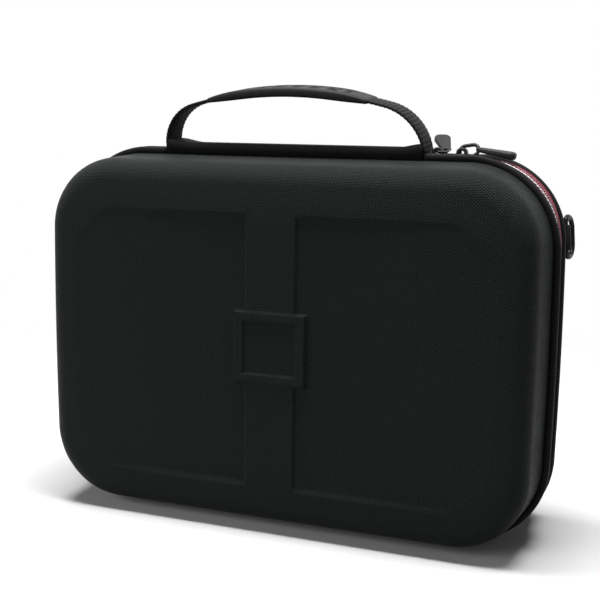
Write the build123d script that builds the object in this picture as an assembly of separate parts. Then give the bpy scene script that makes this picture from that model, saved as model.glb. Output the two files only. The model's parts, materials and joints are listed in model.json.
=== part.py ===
"""Hard zip case for a portable game console: two moulded half shells on a cloth spine, with a carry handle.

Millimetres. The case stands on its flange. X runs along the width, Y from the lid to the back, Z up.
The parting line of the zip is the plane Y = 0, and the floor is Z = 0.
"""
import os
from math import atan2, cos, degrees, radians, sin, sqrt, tan

from build123d import *

# Overall form of the flange, the widest line of the case
case_width = 326.0
case_height = 234.0
case_depth = 108.0
corner_radius = 52.0
side_bow = 2.0

# Half shells
wall = 4.0
rim_inset = 4.2
rim_half_gap = 5.2
rim_land = 6.0
draft_angle = 4.0
front_round = 14.0

# Relief pressed into the lid
panel_width = 116.0
panel_height = 165.0
panel_drop = 3.5
panel_cut_corner = 21.0
panel_sink = 1.3
rib_width = 32.0
boss_width = 46.0
boss_height = 44.0
boss_raise = 1.0
window_width = 34.0
window_height = 32.0
window_sink = 1.5
relief_slope = 45.0
boss_slope = 25.0

# Binding and zip
binding_width = 5.2
binding_height = 3.1
binding_round = 2.3
sewn_gap = 0.1
tape_thickness = 0.9
coil_height = 1.5
coil_width = 2.0
coil_round = 0.7
coil_half_gap = 0.2
zip_end_gap = 0.8

# Carry handle
handle_centre = -5.2
handle_rise = 36.5
handle_top_radius = 250.0
handle_shoulder_radius = 22.0
strap_width = 20.0
strap_thickness = 1.8
strap_sink = 2.9
foot_length = 22.0
foot_bend_radius = 2.5
grip_length = 106.5
grip_width = 25.0
grip_thickness = 5.8
grip_round = 2.2
grip_slot_clearance = 0.3
grip_end_taper = 9.0
grip_end_drop = 0.9
pocket_count = 8
pocket_pitch = 11.4
pocket_length = 7.5
pocket_width = 13.0
pocket_depth = 1.2

# Cloth spine between the handle's feet
spine_half_depth = 11.6
spine_thickness = 1.2
spine_stand = 1.8
spine_round = 2.4
spine_end_gap = 0.7

# Zip sliders and pulls
slider_length = 8.0
slider_width = 8.0
slider_plate = 1.2
slider_clearance = 0.4
slider_post = 1.5
slider_round = 1.4
slider_end_gap = 1.1
slider_spacing = 14.5
slider_park = 9.9
bridge_length = 4.4
bridge_width = 2.2
bridge_thickness = 0.9
bridge_opening = 3.0
link_wire = 1.6
link_length = 11.4
link_width = 7.2
link_bend = 0.9
link_tilt_outer = 9.0
link_tilt_inner = 9.0
tab_length = 23.0
tab_width = 9.0
tab_thickness = 4.2
tab_neck_width = 3.6
tab_neck_length = 4.0
tab_corner = 3.0
tab_round = 1.5
tab_eye_clearance = 0.3
tab_droop_outer = 9.5
tab_lift_inner = 26.0

# Rings for a shoulder strap
ring_wire = 3.0
ring_reach = 12.0
ring_span = 24.0
ring_bar_bend = 4.0
ring_bow_bend = 7.5
ring_angle = 4.5
ring_set_back = 15.5
ring_turn = 10.0
loop_width = 15.0
loop_thickness = 1.2
loop_clearance = 0.3
loop_seat_gap = 0.2

# Tray in the rear half
tray_thickness = 3.0
tray_set_back = 16.0
tray_edge_gap = 0.7
tray_floor_gap = 0.3
tray_corner = 9.0
console_width = 250.0
console_height = 106.0
console_depth = 20.0
console_lift = 38.0
accessory_width = 118.0
accessory_height = 62.0
accessory_lift = -62.0
accessory_spacing = 130.0

# Lid furniture
pad_thickness = 3.0
pad_edge = 22.0
pad_gap = 0.3
pocket_set_back = 13.0
pocket_thickness = 1.0
pocket_edge_gap = 0.9
pocket_mouth_drop = 58.0
mouth_band_height = 9.0
mouth_band_thickness = 2.4
mouth_band_gap = 0.1

# Places worked out from the sizes above
half_width = case_width / 2
half_height = case_height / 2
half_depth = case_depth / 2
lid_face_depth = half_depth - boss_raise
land_depth = rim_half_gap + rim_land
tape_inset = binding_height + sewn_gap
coil_inset = tape_inset - coil_height
cavity_inset = rim_inset + wall

# Depth away from the parting plane is the local Z of these two frames
LID = Plane.XZ
REAR = Plane(origin=(0, 0, 0), x_dir=(-1, 0, 0), z_dir=(0, 1, 0))


def corner_centre():
    """Centre of the top right corner arc, and the centre and radius of the bowed right side."""
    side_radius = (half_height**2 + side_bow**2) / (2 * side_bow)
    side_x = half_width - side_radius
    rise = half_height - corner_radius
    run = sqrt((side_radius - corner_radius) ** 2 - rise**2)
    return side_x + run, case_height - corner_radius, side_x, side_radius


# The sliders park beside the corner, and the handle's right foot stands next to them
slider_outer_x = corner_centre()[0] - slider_park
slider_inner_x = slider_outer_x - slider_spacing
handle_right = slider_inner_x - slider_length / 2 - slider_end_gap - strap_thickness / 2
handle_half_span = handle_right - handle_centre
handle_left = handle_centre - handle_half_span
zip_left = handle_left - strap_thickness / 2 - zip_end_gap
zip_right = handle_right + strap_thickness / 2 + zip_end_gap
lid_zip_right = slider_outer_x + slider_length + slider_end_gap


def outline(inset):
    """Face bounded by the flange line moved inwards: straight top and bottom, bowed sides, round corners."""
    arc_x, arc_z, side_x, _ = corner_centre()
    radius = corner_radius - inset
    tilt = atan2(arc_z - half_height, arc_x - side_x)

    def on_corner(angle):
        return arc_x + radius * cos(angle), arc_z + radius * sin(angle)

    def low(point):
        return point[0], case_height - point[1]

    def left(point):
        return -point[0], point[1]

    top, bend, end = on_corner(radians(90)), on_corner((tilt + radians(90)) / 2), on_corner(tilt)
    side = (half_width - inset, half_height)
    edges = [
        ThreePointArc(low(end), side, end),
        ThreePointArc(end, bend, top),
        Line(top, left(top)),
        ThreePointArc(left(top), left(bend), left(end)),
        ThreePointArc(left(end), left(side), left(low(end))),
        ThreePointArc(left(low(end)), left(low(bend)), left(low(top))),
        Line(left(low(top)), low(top)),
        ThreePointArc(low(top), low(bend), low(end)),
    ]
    return Face(Wire(edges))


def slab(inset, start, thickness):
    """Flange outline moved inwards and given a thickness, starting at a depth from the parting plane."""
    return Pos(0, 0, start) * extrude(outline(inset), thickness)


def hood(inset, start, depth, rounding):
    """Solid half shell blank: a straight land at the rim, then a drafted wall with a rounded front edge."""
    land = slab(inset, start, land_depth - start)
    drawn = Pos(0, 0, land_depth) * extrude(outline(inset), depth - land_depth, taper=draft_angle)
    front = drawn.faces().sort_by(Axis.Z)[-1]
    return land + fillet(front.edges(), rounding)


def half_shell(depth):
    """Hollow half shell, open at the rim."""
    cavity = hood(cavity_inset, 0, depth - wall, front_round - wall)
    return hood(rim_inset, rim_half_gap, depth, front_round) - cavity


def lid_relief(shell):
    """Two sunk panels with cut outer corners, the rib left between them, and a square boss with a window."""
    floor = Rectangle(panel_width, panel_height)
    floor = chamfer(floor.vertices().group_by(Axis.X)[-1], panel_cut_corner)
    sunk = extrude(floor, panel_sink, taper=-relief_slope)
    reach = (rib_width + panel_width) / 2
    right = Pos(reach, half_height - panel_drop, lid_face_depth - panel_sink) * sunk
    shell = shell - right - mirror(right, about=Plane.YZ)
    boss = extrude(Rectangle(boss_width, boss_height), panel_sink + boss_raise, taper=boss_slope)
    shell = shell + Pos(0, half_height, lid_face_depth - panel_sink) * boss
    window = extrude(Rectangle(window_width, window_height), window_sink, taper=-boss_slope)
    return shell - Pos(0, half_height, half_depth - window_sink) * window


def zip_run(ring, right_end):
    """Ring round the flange with its stretch between the zip's two ends taken out of the top."""
    mid = (zip_left + right_end) / 2
    gap = Box(right_end - zip_left, corner_radius, case_depth)
    return ring - Pos(mid, case_height, 0) * gap


def binding():
    """Rounded piping over the sewn edge of one half."""
    bead = slab(0, land_depth - binding_width, binding_width)
    ends = bead.faces().filter_by(Axis.Z)
    bead = fillet(ends.edges(), binding_round)
    return zip_run(bead - slab(binding_height, 0, case_depth), zip_right)


def zip_tape(right_end):
    """Cloth tape under the piping, from the parting line to the edge of the rim's land."""
    depth = land_depth - coil_half_gap
    tape = slab(tape_inset, coil_half_gap, depth)
    return zip_run(tape - slab(tape_inset + tape_thickness, 0, case_depth), right_end)


def zip_coil(right_end):
    """Half of the zip's coil along the edge of the tape."""
    coil = slab(coil_inset, coil_half_gap, coil_width)
    coil = fillet(coil.faces().sort_by(Axis.Z)[-1].edges(), coil_round)
    return zip_run(coil - slab(tape_inset - sewn_gap, 0, case_depth), right_end)


def spine():
    """Cloth band over both rims between the handle's feet, a channel that is open below."""
    bottom = case_height - rim_inset + sewn_gap
    top = case_height + spine_stand
    left = handle_left + foot_bend_radius + spine_end_gap
    right = handle_right - foot_bend_radius - spine_end_gap
    outer = Pos(0, (top + bottom) / 2) * Rectangle(2 * spine_half_depth, top - bottom)
    outer = fillet(outer.vertices().group_by(Axis.Y)[-1], spine_round)
    room = top - spine_thickness - bottom
    inner = Pos(0, bottom + room / 2) * Rectangle(2 * (spine_half_depth - spine_thickness), room)
    inner = fillet(inner.vertices().group_by(Axis.Y)[-1], spine_round - spine_thickness)
    section = Plane(origin=(left, 0, 0), x_dir=(0, 1, 0), z_dir=(1, 0, 0)) * (outer - inner)
    return extrude(section, right - left, dir=(1, 0, 0))


def handle_arch():
    """Centre of the handle's top arc, the shoulder's centre and the angle where the two arcs meet."""
    top_z = case_height + handle_rise - handle_top_radius
    shoulder_x = handle_half_span - handle_shoulder_radius
    reach = handle_top_radius - handle_shoulder_radius
    shoulder_z = top_z + sqrt(reach**2 - shoulder_x**2)
    return top_z, shoulder_x, shoulder_z, atan2(shoulder_x, shoulder_z - top_z)


def handle_path():
    """Centre line of the webbing: foot, bend, leg, shoulder and the long arc over the top."""
    top_z, shoulder_x, shoulder_z, meet = handle_arch()
    foot_z = case_height - strap_sink
    bend_z = foot_z + foot_bend_radius
    bend_x = handle_half_span - foot_bend_radius
    swing = foot_bend_radius * sin(radians(45))
    foot_mid = (bend_x + swing, 0, bend_z - swing)
    at_top = lambda angle: (handle_top_radius * sin(angle), 0, top_z + handle_top_radius * cos(angle))
    turn = (meet + radians(90)) / 2
    shoulder_mid = (
        shoulder_x + handle_shoulder_radius * sin(turn), 0, shoulder_z + handle_shoulder_radius * cos(turn)
    )
    return [
        ThreePointArc(at_top(0), at_top(meet / 2), at_top(meet)),
        ThreePointArc(at_top(meet), shoulder_mid, (handle_half_span, 0, shoulder_z)),
        Line((handle_half_span, 0, shoulder_z), (handle_half_span, 0, bend_z)),
        ThreePointArc((handle_half_span, 0, bend_z), foot_mid, (bend_x, 0, foot_z)),
        Line((bend_x, 0, foot_z), (bend_x - foot_length, 0, foot_z)),
    ]


def handle_strap():
    """Flat webbing swept along the handle's centre line."""
    start = Plane(origin=(0, 0, case_height + handle_rise), x_dir=(0, 1, 0), z_dir=(1, 0, 0))
    section = start * Rectangle(strap_width, strap_thickness)
    half = sweep(section, path=Wire(handle_path()))
    return Pos(handle_centre, 0, 0) * (half + mirror(half, about=Plane.YZ))


def handle_grip():
    """Moulded sleeve round the top of the webbing, with a row of pockets pressed into its upper face."""
    top_z, _, _, _ = handle_arch()
    reach = grip_length / 2 / handle_top_radius
    centre = Pos(0, 0, top_z)
    start = Plane(origin=(0, 0, handle_top_radius), x_dir=(0, 1, 0), z_dir=(1, 0, 0))
    turned = Rot(0, degrees(-reach), 0)
    at = lambda angle: (handle_top_radius * sin(angle), 0, handle_top_radius * cos(angle))
    path = ThreePointArc(at(-reach), at(0), at(reach))
    outer = turned * (start * RectangleRounded(grip_width, grip_thickness, grip_round))
    slot_width = strap_width + 2 * grip_slot_clearance
    slot_height = strap_thickness + 2 * grip_slot_clearance
    slot = turned * (start * Rectangle(slot_width, slot_height))
    grip = sweep(outer, path=path)
    for end in (grip.faces().sort_by(Axis.X)[0], grip.faces().sort_by(Axis.X)[-1]):
        grip = chamfer(end.edges(), grip_end_drop, grip_end_taper, reference=end)
    grip = grip - sweep(slot, path=path)
    pocket = Box(pocket_length, pocket_width, 2 * pocket_depth)
    pocket = Pos(0, 0, handle_top_radius + grip_thickness / 2) * pocket
    step = degrees(pocket_pitch / handle_top_radius)
    for index in range(pocket_count):
        grip = grip - Rot(0, step * (index - (pocket_count - 1) / 2), 0) * pocket
    return Pos(handle_centre, 0, 0) * (centre * grip)


def slider(x):
    """Zip slider: plates above and below the tape, a post between them and a bridge for the pull."""
    upper = case_height - coil_inset + slider_clearance
    lower = case_height - tape_inset - tape_thickness - slider_clearance
    plate = extrude(RectangleRounded(slider_length, slider_width, slider_round), slider_plate)
    body = Pos(0, 0, upper) * plate + Pos(0, 0, lower - slider_plate) * plate
    post = Box(bridge_length, slider_post, upper - lower, align=(Align.CENTER, Align.MAX, Align.MIN))
    body = body + Pos(0, -slider_clearance + coil_half_gap, lower) * post
    arch = Box(bridge_length + 2 * bridge_thickness, bridge_width, bridge_opening + bridge_thickness,
               align=(Align.CENTER, Align.CENTER, Align.MIN))
    arch = fillet(arch.edges().filter_by(Axis.Y).group_by(Axis.Z)[-1], bridge_thickness)
    hole = Box(bridge_length, 2 * bridge_width, bridge_opening, align=(Align.CENTER, Align.CENTER, Align.MIN))
    top = upper + slider_plate
    return Pos(x, 0, 0) * (body + Pos(0, 0, top) * (arch - hole))


def pivot_height():
    """Height of the pull's wire in the slider's bridge."""
    return case_height - coil_inset + slider_clearance + slider_plate + bridge_opening / 2


def pull_link():
    """Wire ring lying flat, with its near wire at the origin and its far wire along +X."""
    length = link_length - link_wire
    width = link_width - link_wire
    frame = Pos(length / 2, 0) * RectangleRounded(length, width, link_bend)
    path = frame.wires()[0]
    section = Plane(origin=path @ 0, z_dir=path % 0) * Circle(link_wire / 2)
    return sweep(section, path=path)


def pull_tab():
    """Rubber tab along +X, with its eye on the origin: a narrow neck that widens into the grip."""
    root = tab_neck_width / 2
    body_length = tab_length - tab_neck_length
    shank = Pos(tab_neck_length + body_length / 2, 0) * RectangleRounded(body_length, tab_width, tab_corner)
    neck = Pos(tab_neck_length, 0) * Rectangle(2 * tab_neck_length, tab_neck_width)
    outline_face = shank + neck + Circle(root)
    tab = extrude(outline_face, tab_thickness / 2, both=True)
    rims = tab.faces().filter_by(Axis.Z).edges()
    tab = fillet(rims, tab_round)
    eye = Cylinder(link_wire / 2 + tab_eye_clearance, 2 * tab_width, rotation=(90, 0, 0))
    return tab - eye


def outer_pull():
    """Ring and tab of the outer slider, lying along the zip away from the handle."""
    reach = link_length - link_wire
    seat = Pos(slider_outer_x, 0, pivot_height()) * Rot(0, -link_tilt_outer, 0)
    eye = Pos(slider_outer_x, 0, pivot_height()) * Pos(
        reach * cos(radians(link_tilt_outer)), 0, reach * sin(radians(link_tilt_outer))
    )
    return seat * pull_link(), eye * Rot(0, tab_droop_outer, 0) * pull_tab()


def inner_pull():
    """Ring of the inner slider turned a quarter, with a side wire in the bridge, and its tab laid back."""
    side = (link_width - link_wire) / 2
    reach = link_length - link_wire
    near = (bridge_width + link_wire) / 2 + slider_clearance
    seat = Pos(slider_inner_x, 0, pivot_height()) * Rot(link_tilt_inner, 0, 0)
    ring = seat * Pos(side, -near, 0) * Rot(0, 0, 90) * pull_link()
    far = reach - near
    eye = seat * Pos(side, far, 0) * Rot(tab_lift_inner - link_tilt_inner, 0, 0)
    return ring, eye * Rot(0, 0, 90) * pull_tab()


def ring_seat():
    """Frame of the right ring: its bar's place on the corner of the side wall, with X pointing outwards."""
    arc_x, arc_z, _, _ = corner_centre()
    wall_radius = corner_radius - rim_inset
    stand_off = ring_wire / 2 + loop_clearance + loop_thickness + loop_seat_gap
    return Pos(arc_x, 0, arc_z) * Rot(0, -ring_angle, 0) * Pos(wall_radius + stand_off, ring_set_back, 0)


def d_ring():
    """Wire ring for a shoulder strap on the right side, its bar upright and its bow laid to the rear."""
    frame = Pos(ring_reach / 2, 0) * Rectangle(ring_reach, ring_span)
    frame = fillet(frame.vertices().group_by(Axis.X)[0], ring_bar_bend)
    frame = fillet(frame.vertices().group_by(Axis.X)[-1], ring_bow_bend)
    flat = Plane(origin=(0, 0, 0), x_dir=(0, 1, 0), z_dir=(1, 0, 0)) * frame
    path = flat.wires()[0]
    section = Plane(origin=path @ 0, z_dir=path % 0) * Circle(ring_wire / 2)
    return ring_seat() * Rot(0, 0, -ring_turn) * sweep(section, path=path)


def ring_loop():
    """Webbing folded round the ring's bar, its tail lying on the wall as far as the piping."""
    bore = ring_wire / 2 + loop_clearance
    reach = bore + loop_thickness
    tail_length = ring_set_back - land_depth - loop_seat_gap
    tail = Pos(-reach, 0) * Rectangle(2 * loop_thickness, tail_length, align=(Align.MIN, Align.MAX))
    profile = Circle(reach) + tail - Circle(bore)
    return ring_seat() * extrude(profile, loop_width / 2, both=True)


def tray_cup(width, height, depth, x, z):
    """One recess of the tray: the solid that it fills and the hollow inside it."""
    shape = Pos(x, half_height + z, tray_set_back)
    outer = (width + 2 * tray_thickness, height + 2 * tray_thickness)
    skin = RectangleRounded(*outer, tray_corner + tray_thickness)
    full = shape * extrude(skin, depth + tray_thickness)
    hollow = shape * extrude(RectangleRounded(width, height, tray_corner), depth)
    return full, hollow


def console_tray():
    """Moulded tray in the rear half: a face sheet with a console recess and two accessory recesses."""
    accessory_depth = half_depth - wall - tray_floor_gap - tray_thickness - tray_set_back
    cups = [
        tray_cup(console_width, console_height, console_depth, 0, console_lift),
        tray_cup(accessory_width, accessory_height, accessory_depth, -accessory_spacing / 2, accessory_lift),
        tray_cup(accessory_width, accessory_height, accessory_depth, accessory_spacing / 2, accessory_lift),
    ]
    drawn_in = (tray_set_back + tray_thickness - land_depth) * tan(radians(draft_angle))
    tray = slab(cavity_inset + tray_edge_gap + drawn_in, tray_set_back, tray_thickness)
    for full, _ in cups:
        tray = tray + full
    for _, hollow in cups:
        tray = tray - hollow
    return tray


def lid_pad():
    """Soft pad on the inside of the lid's face."""
    return slab(pad_edge, lid_face_depth - wall - pad_gap - pad_thickness, pad_thickness)


def lid_pocket():
    """Mesh panel across the lower part of the lid, open along its top."""
    panel = slab(cavity_inset + pocket_edge_gap, pocket_set_back, pocket_thickness)
    cut = Box(case_width, 2 * pocket_mouth_drop, case_depth)
    return panel - Pos(0, case_height, 0) * cut


def pocket_edge():
    """Elastic band folded over the pocket's mouth."""
    mouth = case_height - pocket_mouth_drop + mouth_band_gap
    band_top = mouth + mouth_band_thickness / 2
    middle = pocket_set_back + pocket_thickness / 2
    band = slab(cavity_inset + pocket_edge_gap, middle - mouth_band_thickness / 2, mouth_band_thickness)
    keep = Pos(0, band_top - mouth_band_height / 2, 0) * Box(case_width, mouth_band_height, case_depth)
    room = slab(0, pocket_set_back - mouth_band_gap, pocket_thickness + 2 * mouth_band_gap)
    below = Pos(0, mouth - half_height, 0) * Box(2 * case_width, case_height, 2 * case_depth)
    return (band & keep) - (room & below)


def build():
    """All pieces in place, by node name."""
    lid_shell = half_shell(lid_face_depth)
    link_outer, tab_outer = outer_pull()
    link_inner, tab_inner = inner_pull()
    ring_right, loop_right = d_ring(), ring_loop()
    return {
        "front_shell": LID * lid_relief(lid_shell),
        "rear_shell": REAR * half_shell(half_depth),
        "front_binding": LID * binding(),
        "rear_binding": mirror(LID * binding(), about=Plane.XZ),
        "zip_tape_front": LID * zip_tape(lid_zip_right),
        "zip_tape_rear": mirror(LID * zip_tape(zip_right), about=Plane.XZ),
        "zip_coil_front": LID * zip_coil(lid_zip_right),
        "zip_coil_rear": mirror(LID * zip_coil(zip_right), about=Plane.XZ),
        "hinge_spine": spine(),
        "handle_strap": handle_strap(),
        "handle_grip": handle_grip(),
        "slider_inner": slider(slider_inner_x),
        "slider_outer": slider(slider_outer_x),
        "pull_link_inner": link_inner,
        "pull_link_outer": link_outer,
        "pull_tab_inner": tab_inner,
        "pull_tab_outer": tab_outer,
        "d_ring_right": ring_right,
        "d_ring_left": mirror(ring_right, about=Plane.YZ),
        "ring_loop_right": loop_right,
        "ring_loop_left": mirror(loop_right, about=Plane.YZ),
        "console_tray": REAR * console_tray(),
        "lid_pad": LID * lid_pad(),
        "lid_pocket": LID * lid_pocket(),
        "pocket_edge": LID * pocket_edge(),
    }


os.makedirs("parts", exist_ok=True)
for node, shape in build().items():
    export_step(shape, f"parts/{node}.step")
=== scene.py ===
"""Looks of a hard zip case for a portable game console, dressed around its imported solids.

The builders work in millimetres, in the frame of the solids, and a mesh becomes metres when it is finished.
X runs along the width, Y from the lid to the back, Z up. The zip's parting line is the plane Y = 0.
"""

import json
import logging
import math
from dataclasses import dataclass, field
from enum import Enum
from typing import Callable, NamedTuple, Optional, Sequence, Union

import bmesh
import bpy
from bmesh.types import BMEdge, BMesh, BMFace, BMVert
from mathutils import Matrix, Vector


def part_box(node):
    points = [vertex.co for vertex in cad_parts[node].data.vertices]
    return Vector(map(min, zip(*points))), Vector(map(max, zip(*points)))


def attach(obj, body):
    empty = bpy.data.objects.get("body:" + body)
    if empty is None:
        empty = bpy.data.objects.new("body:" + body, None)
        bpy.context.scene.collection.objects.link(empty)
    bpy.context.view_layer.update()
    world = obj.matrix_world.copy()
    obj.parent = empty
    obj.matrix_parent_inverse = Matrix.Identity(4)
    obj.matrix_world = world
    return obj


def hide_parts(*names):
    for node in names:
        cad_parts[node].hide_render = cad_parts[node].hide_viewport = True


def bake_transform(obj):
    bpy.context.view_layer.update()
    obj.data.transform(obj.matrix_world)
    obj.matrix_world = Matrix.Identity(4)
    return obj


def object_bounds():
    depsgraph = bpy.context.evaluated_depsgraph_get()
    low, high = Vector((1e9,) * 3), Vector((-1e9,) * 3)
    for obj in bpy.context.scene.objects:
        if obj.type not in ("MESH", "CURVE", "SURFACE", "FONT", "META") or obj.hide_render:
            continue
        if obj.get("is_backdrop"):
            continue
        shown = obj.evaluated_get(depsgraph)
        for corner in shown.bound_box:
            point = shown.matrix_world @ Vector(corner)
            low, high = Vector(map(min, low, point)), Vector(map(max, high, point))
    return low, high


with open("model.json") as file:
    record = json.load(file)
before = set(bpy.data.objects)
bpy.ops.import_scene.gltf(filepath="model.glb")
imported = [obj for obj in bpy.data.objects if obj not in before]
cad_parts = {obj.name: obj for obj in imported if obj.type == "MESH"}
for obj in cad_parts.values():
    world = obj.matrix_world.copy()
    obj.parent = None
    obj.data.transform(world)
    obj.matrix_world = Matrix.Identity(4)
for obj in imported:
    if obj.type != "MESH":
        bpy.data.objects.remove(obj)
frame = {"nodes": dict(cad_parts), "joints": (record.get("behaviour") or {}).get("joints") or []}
CAD_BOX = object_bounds()

LOG = logging.getLogger("zip_case")
MM = 0.001
CLOTH_UV = "cloth"
MERGE = 1e-4
FINE_CUTS = 3
WEAVE_SPECKS = 0.9
WEAVE_HEIGHTS = (0.6, 1.4)
# Spread of the weave's colour: thread tone that differs at random, wide enough to paint glints on the brighter
# threads.
WEAVE_TONE_AND_GLINTS = (0.35, 1.65)
WEAVE_SWING = 0.25
WEAVE_RELIEF = 0.3
GRAIN_RELIEF = 0.1
WEAR_SHARE = 0.06
Socket = bpy.types.NodeSocket
Value = Union[Socket, float]


class Body(Enum):
    """Bodies of the frame that a piece can ride on."""

    BASE = "base"
    LID = "lid"
    HANDLE = "carry_handle"
    SLIDER_INNER = "slider_inner"
    SLIDER_OUTER = "slider_outer"
    LINK_OUTER = "link_outer"
    TAB_INNER = "tab_inner"
    TAB_OUTER = "tab_outer"


class Half(Enum):
    """Halves of the case, with the sign of Y away from the parting plane."""

    LID = -1
    REAR = 1

    @property
    def body(self) -> Body:
        """Body that carries this half."""
        return Body.LID if self is Half.LID else Body.BASE

    @property
    def word(self) -> str:
        """Word for this half in the names of its solids."""
        return "front" if self is Half.LID else "rear"


def node_box(node: str) -> tuple[Vector, Vector]:
    """Lowest and highest corner of a solid at rest, in millimetres."""
    low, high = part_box(node)
    return low / MM, high / MM


def smoothstep(value: float) -> float:
    """Soft step from 0 to 1 as the value goes from 0 to 1."""
    t = min(max(value, 0.0), 1.0)
    return t * t * (3 - 2 * t)


def mixed(a: float, b: float, share: float) -> float:
    """Value that lies the given share of the way from a to b."""
    return a + (b - a) * share


# Shader wiring


class Wiring:
    """Places and joins shader nodes in one tree."""

    def __init__(self, tree: bpy.types.NodeTree) -> None:
        """Take the tree that the nodes go into."""
        self.tree = tree

    def node(self, kind: str, **values: object) -> bpy.types.Node:
        """Add a node.

        Args:
            kind: Type name of the node.
            values: Properties of the node to set.

        Returns:
            The new node.
        """
        made = self.tree.nodes.new(kind)
        for name, value in values.items():
            setattr(made, name, value)
        return made

    def feed(self, target: Socket, value: Value) -> None:
        """Link a socket to the target, or set the target's own value."""
        if isinstance(value, bpy.types.NodeSocket):
            self.tree.links.new(value, target)
        else:
            target.default_value = value

    def math(self, operation: str, a: Value, b: Value = 0.0, c: Value = 0.0) -> Socket:
        """Add a Math node.

        Args:
            operation: Name of the operation.
            a: First value.
            b: Second value, where the operation has one.
            c: Third value, where the operation has one.

        Returns:
            The result's socket.
        """
        made = self.node("ShaderNodeMath", operation=operation)
        for target, value in zip(made.inputs, (a, b, c)):
            self.feed(target, value)
        return made.outputs[0]

    def ranged(self, value: Socket, low: float, high: float) -> Socket:
        """Map a value from 0..1 to low..high."""
        made = self.node("ShaderNodeMapRange")
        self.feed(made.inputs["Value"], value)
        self.feed(made.inputs["To Min"], low)
        self.feed(made.inputs["To Max"], high)
        return made.outputs["Result"]

    def noise(self, vector: Socket, scale: Value, detail: float = 2.0) -> Socket:
        """Noise value at a scale in features per unit of the vector."""
        made = self.node("ShaderNodeTexNoise")
        self.feed(made.inputs["Vector"], vector)
        self.feed(made.inputs["Scale"], scale)
        self.feed(made.inputs["Detail"], detail)
        return made.outputs["Fac"]

    def showing(self) -> Socket:
        """1 for the rays that show the background: to the camera, through glass and in gloss."""
        path = self.node("ShaderNodeLightPath")
        seen = self.math("MAXIMUM", path.outputs["Is Camera Ray"], path.outputs["Is Transmission Ray"])
        return self.math("MAXIMUM", seen, path.outputs["Is Glossy Ray"])

    def two_tone(self, share: Socket, dark: Sequence[float], light: Sequence[float]) -> Socket:
        """Colour between a dark and a light tone."""
        made = self.node("ShaderNodeMix", data_type="RGBA")
        self.feed(made.inputs["Factor"], share)
        made.inputs[6].default_value = (*dark, 1.0)
        made.inputs[7].default_value = (*light, 1.0)
        return made.outputs[2]


@dataclass(frozen=True)
class Port:
    """A named input or output of a shader node group."""

    name: str
    kind: str = "NodeSocketFloat"
    default: Optional[float] = None


Sockets = dict[str, Socket]


def new_group(
    name: str, inputs: Sequence[Port], outputs: Sequence[Port]
) -> tuple[Wiring, Sockets, Sockets]:
    """Start a shader node group.

    Args:
        name: Name of the group.
        inputs: Its inputs.
        outputs: Its outputs.

    Returns:
        The wiring of the group, its input sockets and its output sockets, by name.
    """
    tree = bpy.data.node_groups.new(name, "ShaderNodeTree")
    for direction, ports in (("INPUT", inputs), ("OUTPUT", outputs)):
        for port in ports:
            made = tree.interface.new_socket(port.name, in_out=direction, socket_type=port.kind)
            if port.default is not None:
                made.default_value = port.default
    wiring = Wiring(tree)
    given = {socket.name: socket for socket in wiring.node("NodeGroupInput").outputs}
    taken = {socket.name: socket for socket in wiring.node("NodeGroupOutput").inputs}
    return wiring, given, taken


def weave_group() -> bpy.types.NodeTree:
    """Group of a plain weave: thread crowns as Height, and as ToneAndSheen the thread tone with a painted sheen
    that sets warp floats against weft floats, and painted glints on random brighter threads.
    """
    wiring, given, taken = new_group(
        "plain_weave",
        [Port("Vector", "NodeSocketVector"), Port("Pitch", default=1.0), Port("Lean", default=0.2)],
        [Port("Height"), Port("ToneAndSheen")],
    )
    parts = wiring.node("ShaderNodeSeparateXYZ")
    wiring.feed(parts.inputs[0], given["Vector"])
    wave = wiring.math("DIVIDE", math.pi, given["Pitch"])
    across = wiring.math("MULTIPLY", parts.outputs["X"], wave)
    along = wiring.math("MULTIPLY", parts.outputs["Y"], wave)
    falling = wiring.math("COSINE", wiring.math("SUBTRACT", across, along))
    rising = wiring.math("COSINE", wiring.math("ADD", across, along))
    crossing = wiring.math("ABSOLUTE", wiring.math("SUBTRACT", falling, rising))
    uneven = wiring.noise(given["Vector"], wiring.math("DIVIDE", WEAVE_SPECKS, given["Pitch"]))
    crown = wiring.math("SQRT", wiring.math("MULTIPLY", crossing, 0.5))
    wiring.feed(taken["Height"], wiring.math("MULTIPLY", crown, wiring.ranged(uneven, *WEAVE_HEIGHTS)))
    # The two diagonals paint the sheen of warp floats against weft floats into the colour, one stronger than the
    # other by the lean.
    more = wiring.math("MULTIPLY_ADD", given["Lean"], WEAVE_SWING, WEAVE_SWING)
    less = wiring.math("MULTIPLY_ADD", given["Lean"], -WEAVE_SWING, WEAVE_SWING)
    strong = wiring.math("MULTIPLY", falling, more)
    weak = wiring.math("MULTIPLY", rising, less)
    level = wiring.math("ADD", wiring.math("SUBTRACT", strong, weak), 0.5)
    # The uneven factor gives each thread its own tone, and its wide range paints random bright threads as glints.
    wiring.feed(taken["ToneAndSheen"], wiring.math("MULTIPLY", level, wiring.ranged(uneven, *WEAVE_TONE_AND_GLINTS)))
    return wiring.tree


def grain_group() -> bpy.types.NodeTree:
    """Group of a moulded grain: fine pits as Height, and slow handling marks as Wear."""
    wiring, given, taken = new_group(
        "moulded_grain",
        [Port("Vector", "NodeSocketVector"), Port("Scale", default=1500.0)],
        [Port("Height"), Port("Wear")],
    )
    wiring.feed(taken["Height"], wiring.noise(given["Vector"], given["Scale"], 3.0))
    slow = wiring.math("MULTIPLY", given["Scale"], WEAR_SHARE)
    wiring.feed(taken["Wear"], wiring.noise(given["Vector"], slow, 4.0))
    return wiring.tree


@dataclass(frozen=True)
class Groups:
    """The shader node groups that the finishes share."""

    weave: bpy.types.NodeTree
    grain: bpy.types.NodeTree


Tone = tuple[float, float, float]


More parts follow.
